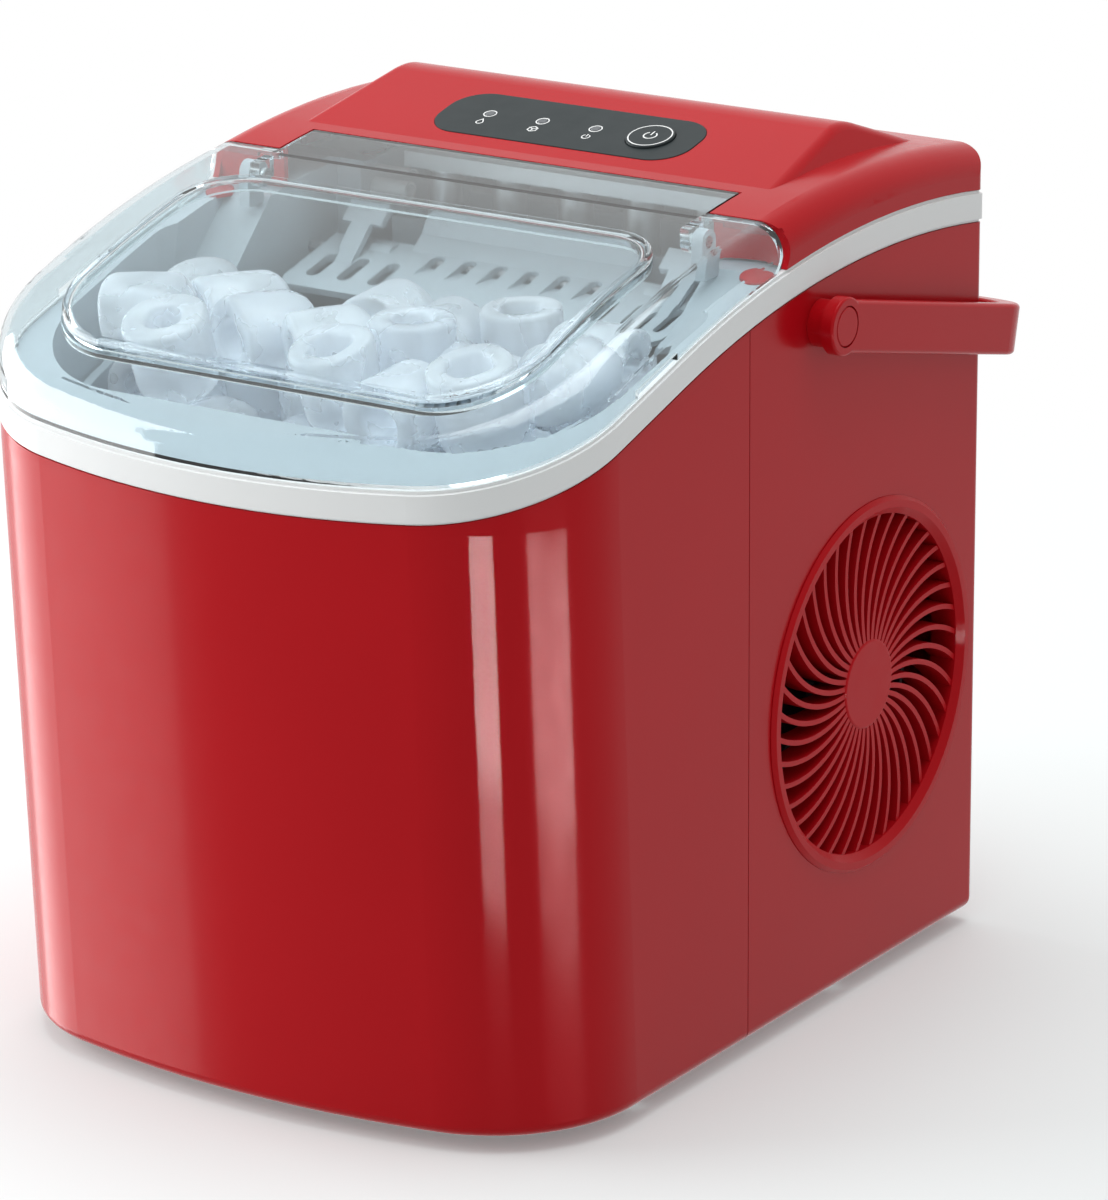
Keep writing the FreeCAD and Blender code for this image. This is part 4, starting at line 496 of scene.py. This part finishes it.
def bulletProfile(radius, length, bore):
    # from the tip of the round end, up the outside, over the rim and down the bore
    taper, depth = bulletSetup["taper"], bulletSetup["boreDepth"]
    dome, rim = radius * bulletSetup["dome"], radius * bulletSetup["rim"]
    flare = bore * bulletSetup["flare"]
    points = []
    for degrees in range(0, 91, 15):
        turn = math.radians(degrees)
        points.append((radius * (1 - taper) * math.sin(turn), dome * (1 - math.cos(turn))))
    points.append((radius * (1 - taper * bulletSetup["waistTaper"]),
                   length * bulletSetup["waist"]))
    points += [(radius - rim * (1 - math.cos(turn)), length - rim + rim * math.sin(turn))
               for turn in bulletSetup["rimOutside"]]
    points += [(flare + rim * (1 - math.sin(turn)), length - rim + rim * math.cos(turn))
               for turn in bulletSetup["rimInside"]]
    points += [(bore * wide, length - depth * down) for wide, down in bulletSetup["boreShape"]]
    return points


def revolve(form, profile, rng):
    # a closed form of revolution about Z; a point on the axis is one vertex
    segments = bulletSetup["segments"]
    waves = [(rng.uniform(0, math.tau), rng.randint(*bulletSetup["waveCount"]),
              rng.uniform(*bulletSetup["waveSize"])) for _ in range(bulletSetup["waves"])]
    rings = []
    for radius, height in profile:
        if radius < 1e-6:
            rings.append([form.verts.new((0, 0, height))])
            continue
        calm = min(1, radius / bulletSetup["calmRadius"])
        ring = []
        for step in range(segments):
            turn = math.tau * step / segments
            swell = sum(size * math.sin(count * turn + phase + height * bulletSetup["waveTwist"])
                        for phase, count, size in waves)
            reach = radius + bulletSetup["unevenness"] * swell * calm
            ring.append(form.verts.new((reach * math.cos(turn), reach * math.sin(turn), height)))
        rings.append(ring)
    for lower, upper in zip(rings, rings[1:]):
        for step in range(segments):
            follow = (step + 1) % segments
            if len(lower) == 1:
                form.faces.new((lower[0], upper[follow], upper[step]))
            elif len(upper) == 1:
                form.faces.new((lower[step], lower[follow], upper[0]))
            else:
                form.faces.new((lower[step], lower[follow], upper[follow], upper[step]))


def bulletMesh(name, rng):
    radius = bulletSetup["radius"] * rng.uniform(*bulletSetup["sizeRange"])
    length = bulletSetup["length"] * rng.uniform(*bulletSetup["lengthRange"])
    bore = bulletSetup["bore"] * rng.uniform(*bulletSetup["boreRange"])
    form = bmesh.new()
    revolve(form, bulletProfile(radius, length, bore), rng)
    bmesh.ops.translate(form, verts=form.verts, vec=(0, 0, -bulletSetup["length"] / 2))
    bmesh.ops.recalc_face_normals(form, faces=form.faces)
    for face in form.faces:
        face.smooth = True
    return meshFrom(form, name)


# the heap of ice: pieces drop into a bin shaped like the basket and come to rest
heapSetup = {
    "count": 34,
    "seed": 3,
    "frames": 160,
    "enlarged": 20,                     # the run is made this much larger, as it holds better
    "slope": 6.0,                       # degrees; leans the pull towards the rear
    "lift": 0.030,                      # how far the basket lifts; the ice stays clear of it
    "lip": 0.0016,                      # the basket's rim, wall and draft
    "wall": 0.0018,
    "draft": 7.0,                       # degrees
    "frontRimBelow": 0.028,
    "frontCorner": 0.034,
    "rearCorner": 0.010,
    "sideRoom": 0.0016,                 # room between the ice and the lifted basket
    "floorRoom": 0.0030,
    "sideSlack": 0.0003,                # how much of that room a piece may not use
    "floorSlack": 0.0005,
    "lidGap": 0.0008,
    "lookUpFrom": 0.18,                 # a height under the whole lid
}


def lidAbove(lidShape, x, y):
    # where a line straight up from under the lid meets it
    return lidShape.ray_cast(Vector((x, y, heapSetup["lookUpFrom"])), Vector((0, 0, 1)))[0]


def solidFrom(name, corners):
    form = bmesh.new()
    bmesh.ops.convex_hull(form, input=[form.verts.new(corner) for corner in corners])
    return addObject(name, meshFrom(form, name))


def basketHollow():
    # inside of the basket as it stands when lifted, so that the ice clears it at every height
    low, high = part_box("ice_basket")
    skin = heapSetup["lip"] + heapSetup["wall"] + heapSetup["sideRoom"]
    fall = math.tan(math.radians(heapSetup["draft"]))
    floor = low[2] + heapSetup["wall"] + heapSetup["lift"] + heapSetup["floorRoom"]
    depth = high[2] + heapSetup["lift"] - floor
    return {"floor": floor, "half": high[0] - skin - fall * depth, "rear": high[1] - skin,
            "front": low[1] + skin + fall * (depth - heapSetup["frontRimBelow"]), "fall": fall}


def hollowOutline(hollow):
    # four rounded corners, taken round from the right rear
    rear, rearCorner = hollow["rear"], heapSetup["rearCorner"]
    front, frontCorner = hollow["front"], heapSetup["frontCorner"]
    points = []
    for start, side, inward, edge, corner in ((0, 1, -1, rear, rearCorner),
                                              (90, -1, -1, rear, rearCorner),
                                              (180, -1, 1, front, frontCorner),
                                              (270, 1, 1, front, frontCorner)):
        middle = (side * (hollow["half"] - corner), edge + inward * corner)
        for degrees in range(start, start + 91, 30):
            turn = math.radians(degrees)
            points.append(Vector((middle[0] + corner * math.cos(turn),
                                  middle[1] + corner * math.sin(turn), 0)))
    return points


binSetup = {"height": 0.42, "thick": 0.02, "below": 0.01, "floorThick": 0.04, "floorReach": 1.6}


def binWalls(hollow, scale):
    # slabs round the hollow, leaning out as the basket does, and a floor
    outline = hollowOutline(hollow)
    parts = []
    for index, start in enumerate(outline):
        end = outline[(index + 1) % len(outline)]
        along = (end - start).normalized()
        outward = Vector((along.y, -along.x, 0))
        lean = Vector((outward.x, min(outward.y, 0), 0)) * hollow["fall"]   # upright at the rear
        low = Vector((0, 0, hollow["floor"] - binSetup["below"])) - lean * binSetup["below"]
        up = Vector((0, 0, binSetup["height"])) + lean * binSetup["height"]
        inner = [start + low, end + low, start + low + up, end + low + up]
        outer = [point + outward * binSetup["thick"] for point in inner]
        parts.append(solidFrom("binWall", [point * scale for point in inner + outer]))
    reach = hollow["half"] * binSetup["floorReach"]
    middle = (hollow["front"] + hollow["rear"]) / 2
    heights = (hollow["floor"] - binSetup["floorThick"], hollow["floor"])
    parts.append(solidFrom("binFloor", [Vector((x, middle + y, z)) * scale
                                        for x in (-reach, reach) for y in (-reach, reach)
                                        for z in heights]))
    return parts


pressSetup = {
    "gap": 0.0030,                      # left under the lid
    "top": 0.2445,                      # the press stays under this height all over
    "steps": 6,
    "thick": 0.03,
    "past": 0.02,                       # how far it goes past the hollow, front and rear
    "sidePast": 0.03,
    "lookUpAt": (0, 0.06, 0.09),        # distances from the middle where the lid is felt
    "drop": 0.40,
    "downFrom": 60,                     # frames
    "downBy": 115,
}


def lidPress(hollow, lidShape, scale):
    # slabs that follow the lid's underside; they come down on the pieces and level the heap
    front, rear = hollow["front"] - pressSetup["past"], hollow["rear"] + pressSetup["past"]
    reach, steps = hollow["half"] + pressSetup["sidePast"], pressSetup["steps"]
    levels = []
    for step in range(steps + 1):
        y = front + (rear - front) * step / steps
        above = [lidAbove(lidShape, x, y) for x in pressSetup["lookUpAt"]]
        lowest = min(hit.z for hit in above if hit is not None)
        levels.append((y, min(lowest - pressSetup["gap"], pressSetup["top"])))
    drop, downFrom, downBy = pressSetup["drop"], pressSetup["downFrom"], pressSetup["downBy"]
    parts = []
    for near, far in zip(levels, levels[1:]):
        slab = solidFrom("lidPress", [Vector((x, y, z + up)) * scale for x in (-reach, reach)
                                      for y, z in (near, far)
                                      for up in (0, pressSetup["thick"])])
        for frameNumber, height in ((1, drop), (downFrom, drop), (downBy, 0.0)):
            slab.location.z = height * scale
            slab.keyframe_insert("location", frame=frameNumber)
        parts.append(slab)
    return parts


runSetup = {
    "substeps": 20,
    "iterations": 60,
    "pull": 9.81,
    "margin": 0.004,
    "mass": 1.0,
    "slideLoss": 0.08,
    "spinLoss": 0.25,
    "wallFriction": 0.25,
    "pressFriction": 0.2,
    "iceFriction": 0.35,
}


def addRigid(holder, kind, friction):
    bpy.context.view_layer.objects.active = holder
    bpy.ops.rigidbody.object_add(type=kind)
    body = holder.rigid_body
    body.collision_shape = "CONVEX_HULL"
    body.friction = friction
    body.restitution = 0.0
    body.use_margin = True
    body.collision_margin = runSetup["margin"]
    if kind == "ACTIVE":
        body.mass = runSetup["mass"]
        body.linear_damping = runSetup["slideLoss"]
        body.angular_damping = runSetup["spinLoss"]


def startRun():
    bpy.ops.rigidbody.world_add()
    world = scene.rigidbody_world
    world.substeps_per_frame = runSetup["substeps"]
    world.solver_iterations = runSetup["iterations"]
    world.point_cache.frame_start = 1
    world.point_cache.frame_end = heapSetup["frames"]
    tilt = math.radians(heapSetup["slope"])
    scene.gravity = (0, runSetup["pull"] * math.sin(tilt), -runSetup["pull"] * math.cos(tilt))


# how the pieces start: in layers, each a little off its place; what falls is a plain solid
# whose rings are given as shares of the piece's radius and length
dropSetup = {
    "columns": 4,
    "rows": 2,
    "columnStep": 0.043,
    "rowStep": 0.040,
    "layerStep": 0.044,
    "firstLayer": 0.022,
    "jitter": 0.002,
    "hullRings": ((0.45, -0.5), (0.9, -0.28), (1, 0.45), (0.9, 0.5)),
    "hullSides": 12,
}


def dropSpots(rng, hollow, scale):
    columns, rows, jitter = dropSetup["columns"], dropSetup["rows"], dropSetup["jitter"]
    middle = (hollow["front"] + hollow["rear"]) / 2
    spots = []
    for index in range(heapSetup["count"]):
        layer, place = divmod(index, columns * rows)
        row, column = divmod(place, columns)
        x = (column - (columns - 1) / 2) * dropSetup["columnStep"] + rng.uniform(-jitter, jitter)
        y = middle + (row - (rows - 1) / 2) * dropSetup["rowStep"] + rng.uniform(-jitter, jitter)
        z = hollow["floor"] + dropSetup["firstLayer"] + layer * dropSetup["layerStep"]
        spots.append(Vector((x, y, z)) * scale)
    return spots


def dropPieces(rng, spots, scale):
    radius, length = bulletSetup["radius"] * scale, bulletSetup["length"] * scale
    turns = [math.tau * side / dropSetup["hullSides"] for side in range(dropSetup["hullSides"])]
    hull = [(radius * wide * math.cos(turn), radius * wide * math.sin(turn), length * up)
            for wide, up in dropSetup["hullRings"] for turn in turns]
    pieces = []
    for spot in spots:
        piece = solidFrom("dropPiece", hull)
        heading = Vector((rng.gauss(0, 1), rng.gauss(0, 1), rng.gauss(0, 1)))
        piece.rotation_mode = "QUATERNION"
        piece.rotation_quaternion = heading.to_track_quat("Z", "Y")
        piece.location = spot
        addRigid(piece, "ACTIVE", runSetup["iceFriction"])
        pieces.append(piece)
    return pieces


def settleIce(rng, hollow, lidShape):
    # runs the drop and returns where each piece lies
    scale = heapSetup["enlarged"]
    startRun()
    walls = binWalls(hollow, scale)
    for wall in walls:
        addRigid(wall, "PASSIVE", runSetup["wallFriction"])
    press = lidPress(hollow, lidShape, scale)
    for slab in press:
        addRigid(slab, "PASSIVE", runSetup["pressFriction"])
        slab.rigid_body.kinematic = True
    pieces = dropPieces(rng, dropSpots(rng, hollow, scale), scale)
    for frameNumber in range(1, heapSetup["frames"] + 1):
        scene.frame_set(frameNumber)
    graph = bpy.context.evaluated_depsgraph_get()
    rests = []
    for piece in pieces:
        place = piece.evaluated_get(graph).matrix_world
        turn = place.to_quaternion().to_matrix().to_4x4()
        rests.append(Matrix.Translation(place.translation / scale) @ turn)
    bpy.ops.rigidbody.world_remove()
    for part in walls + press + pieces:
        mesh = part.data
        bpy.data.objects.remove(part)
        bpy.data.meshes.remove(mesh)
    scene.frame_set(1)
    scene.gravity = (0, 0, -runSetup["pull"])
    return rests


def clearOfBasket(point, hollow):
    grow = hollow["fall"] * (point.z - hollow["floor"])
    side = heapSetup["sideRoom"] - heapSetup["sideSlack"]
    lowest = hollow["floor"] - heapSetup["floorRoom"] + heapSetup["floorSlack"]
    return (abs(point.x) < hollow["half"] + grow + side and point.z > lowest
            and hollow["front"] - grow - side < point.y < hollow["rear"] + side)


def clearOfLid(point, lidShape):
    above = lidAbove(lidShape, point.x, point.y)
    return above is not None and point.z <= above.z - heapSetup["lidGap"]


def makeIce():
    # the ice rides on the housing, so a full heap isn't carried up through the closed lid
    rng = random.Random(heapSetup["seed"])
    lidShape = BVHTree.FromObject(nodes["lid"], bpy.context.evaluated_depsgraph_get())
    hollow = basketHollow()
    kept = 0
    for number, rest in enumerate(settleIce(rng, hollow, lidShape)):
        mesh = bulletMesh("iceBullet", rng)
        mesh.transform(rest)
        if not all(clearOfBasket(vertex.co, hollow) and clearOfLid(vertex.co, lidShape)
                   for vertex in mesh.vertices):
            bpy.data.meshes.remove(mesh)
            continue
        mesh.materials.append(finishes["ice"])
        holder = addObject(f"iceBullet_{number:02d}", mesh)
        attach(holder, "housing")
        kept += 1
    print("ice pieces in the basket:", kept)


makeIce()


# the sloping face that holds the panel
rampSetup = {
    "start": (0, 0.03117, 0.27333),     # metres, the middle of its front edge
    "rise": 13.2,                       # degrees
    "panelTop": 0.25,                   # millimetres that the panel and button stand above it
    "buttonTop": 1.05,
}
# raised rings and signs, in millimetres across and up that face
printSetup = {
    "line": 0.42,
    "fineLine": 0.9,                    # shares of the line
    "boldLine": 1.1,
    "proud": 0.07,                      # how far a line stands up, and how deep it goes in
    "sunk": 0.03,
    "lensX": (-31.4, -10.7, 10.0),
    "lensY": 22.4,
    "ring": 2.15,
    "ringSteps": 40,
    "signBelow": 6.1,
    "dropSize": 1.9,
    "cubeSize": 1.8,
    "powerSize": 1.6,
    "buttonX": 31.5,
    "buttonY": 21.8,
    "buttonRing": 7.3,
    "buttonRingSteps": 64,
    "buttonPowerSize": 2.6,
}
sharpestCorner = 0.5                    # keeps a stroke's corner from growing a long spike


def strokeOn(form, points, width, closed, base, top):
    # a flat band of even width along a line, as a closed thin solid
    count = len(points)
    rings = []
    for index, point in enumerate(points):
        before = points[index - 1] if closed or index else point
        after = points[(index + 1) % count] if closed or index < count - 1 else point
        into, out = (point - before), (after - point)
        into = into.normalized() if into.length > 1e-9 else out.normalized()
        out = out.normalized() if out.length > 1e-9 else into
        middle = (into + out).normalized()
        half = width / 2 / max(sharpestCorner, middle.dot(out))
        across = Vector((-middle.y, middle.x)) * half
        left, right = point - across, point + across
        rings.append([form.verts.new((x, y, z)) for (x, y), z in
                      ((left, base), (right, base), (right, top), (left, top))])
    for index in range(count if closed else count - 1):
        first, second = rings[index], rings[(index + 1) % count]
        for edge in range(4):
            follow = (edge + 1) % 4
            form.faces.new((first[edge], first[follow], second[follow], second[edge]))
    if not closed:
        form.faces.new(rings[0])
        form.faces.new(list(reversed(rings[-1])))


def arcOf(middle, radius, start, end, steps):
    turns = [math.radians(start + (end - start) * step / steps) for step in range(steps + 1)]
    return [Vector((middle[0] + radius * math.cos(turn), middle[1] + radius * math.sin(turn)))
            for turn in turns]


def ringLine(middle, radius, steps):
    return [(arcOf(middle, radius, 0, 360, steps)[:-1], True)]


# each sign is a list of lines, with whether the line closes; numbers are shares of its size
def dropSign(x, y, size):
    bowl = arcOf((x, y - size * 0.2), size * 0.62, -210, 30, 18)
    return [(bowl + [Vector((x, y + size))], True)]


def cubeSign(x, y, size):
    middle = Vector((x, y))
    turns = [math.radians(degrees) for degrees in range(30, 390, 60)]
    corners = [middle + Vector((math.cos(turn), math.sin(turn))) * size for turn in turns]
    return [(corners, True)] + [([middle, corner], False) for corner in corners[::2]]


def powerSign(x, y, size):
    return [(arcOf((x, y), size * 0.85, 125, 415, 22), False),
            ([Vector((x, y + size * 0.1)), Vector((x, y + size * 1.15))], False)]


def printPiece(name, lines, width, top, body):
    # drawn flat in millimetres, then turned and set down on the face
    form = bmesh.new()
    for points, closed in lines:
        strokeOn(form, points, width, closed, top - printSetup["sunk"],
                 top + printSetup["proud"])
    bmesh.ops.recalc_face_normals(form, faces=form.faces)
    mesh = meshFrom(form, name)
    turn = Matrix.Rotation(math.radians(rampSetup["rise"]), 4, "X")
    place = Matrix.Translation(Vector(rampSetup["start"])) @ turn
    mesh.transform(place @ Matrix.Scale(0.001, 4))
    mesh.materials.append(finishes["print"])
    holder = addObject(name, mesh)
    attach(holder, body)


def makePrint():
    line, lensY, panelTop = printSetup["line"], printSetup["lensY"], rampSetup["panelTop"]
    signY = lensY - printSetup["signBelow"]
    signs = (("DropSign", dropSign, printSetup["dropSize"]),
             ("CubeSign", cubeSign, printSetup["cubeSize"]),
             ("PowerSign", powerSign, printSetup["powerSize"]))
    for x, (name, sign, size) in zip(printSetup["lensX"], signs):
        ring = ringLine((x, lensY), printSetup["ring"], printSetup["ringSteps"])
        printPiece("ringRound" + name, ring, line, panelTop, "housing")
        printPiece(name[0].lower() + name[1:], sign(x, signY, size),
                   line * printSetup["fineLine"], panelTop, "housing")
    middle, buttonTop = (printSetup["buttonX"], printSetup["buttonY"]), rampSetup["buttonTop"]
    ring = ringLine(middle, printSetup["buttonRing"], printSetup["buttonRingSteps"])
    printPiece("buttonRing", ring, line, buttonTop, "button")
    printPiece("buttonSign", powerSign(*middle, printSetup["buttonPowerSize"]),
               line * printSetup["boldLine"], buttonTop, "button")
    print("panel rings and signs made")


makePrint()
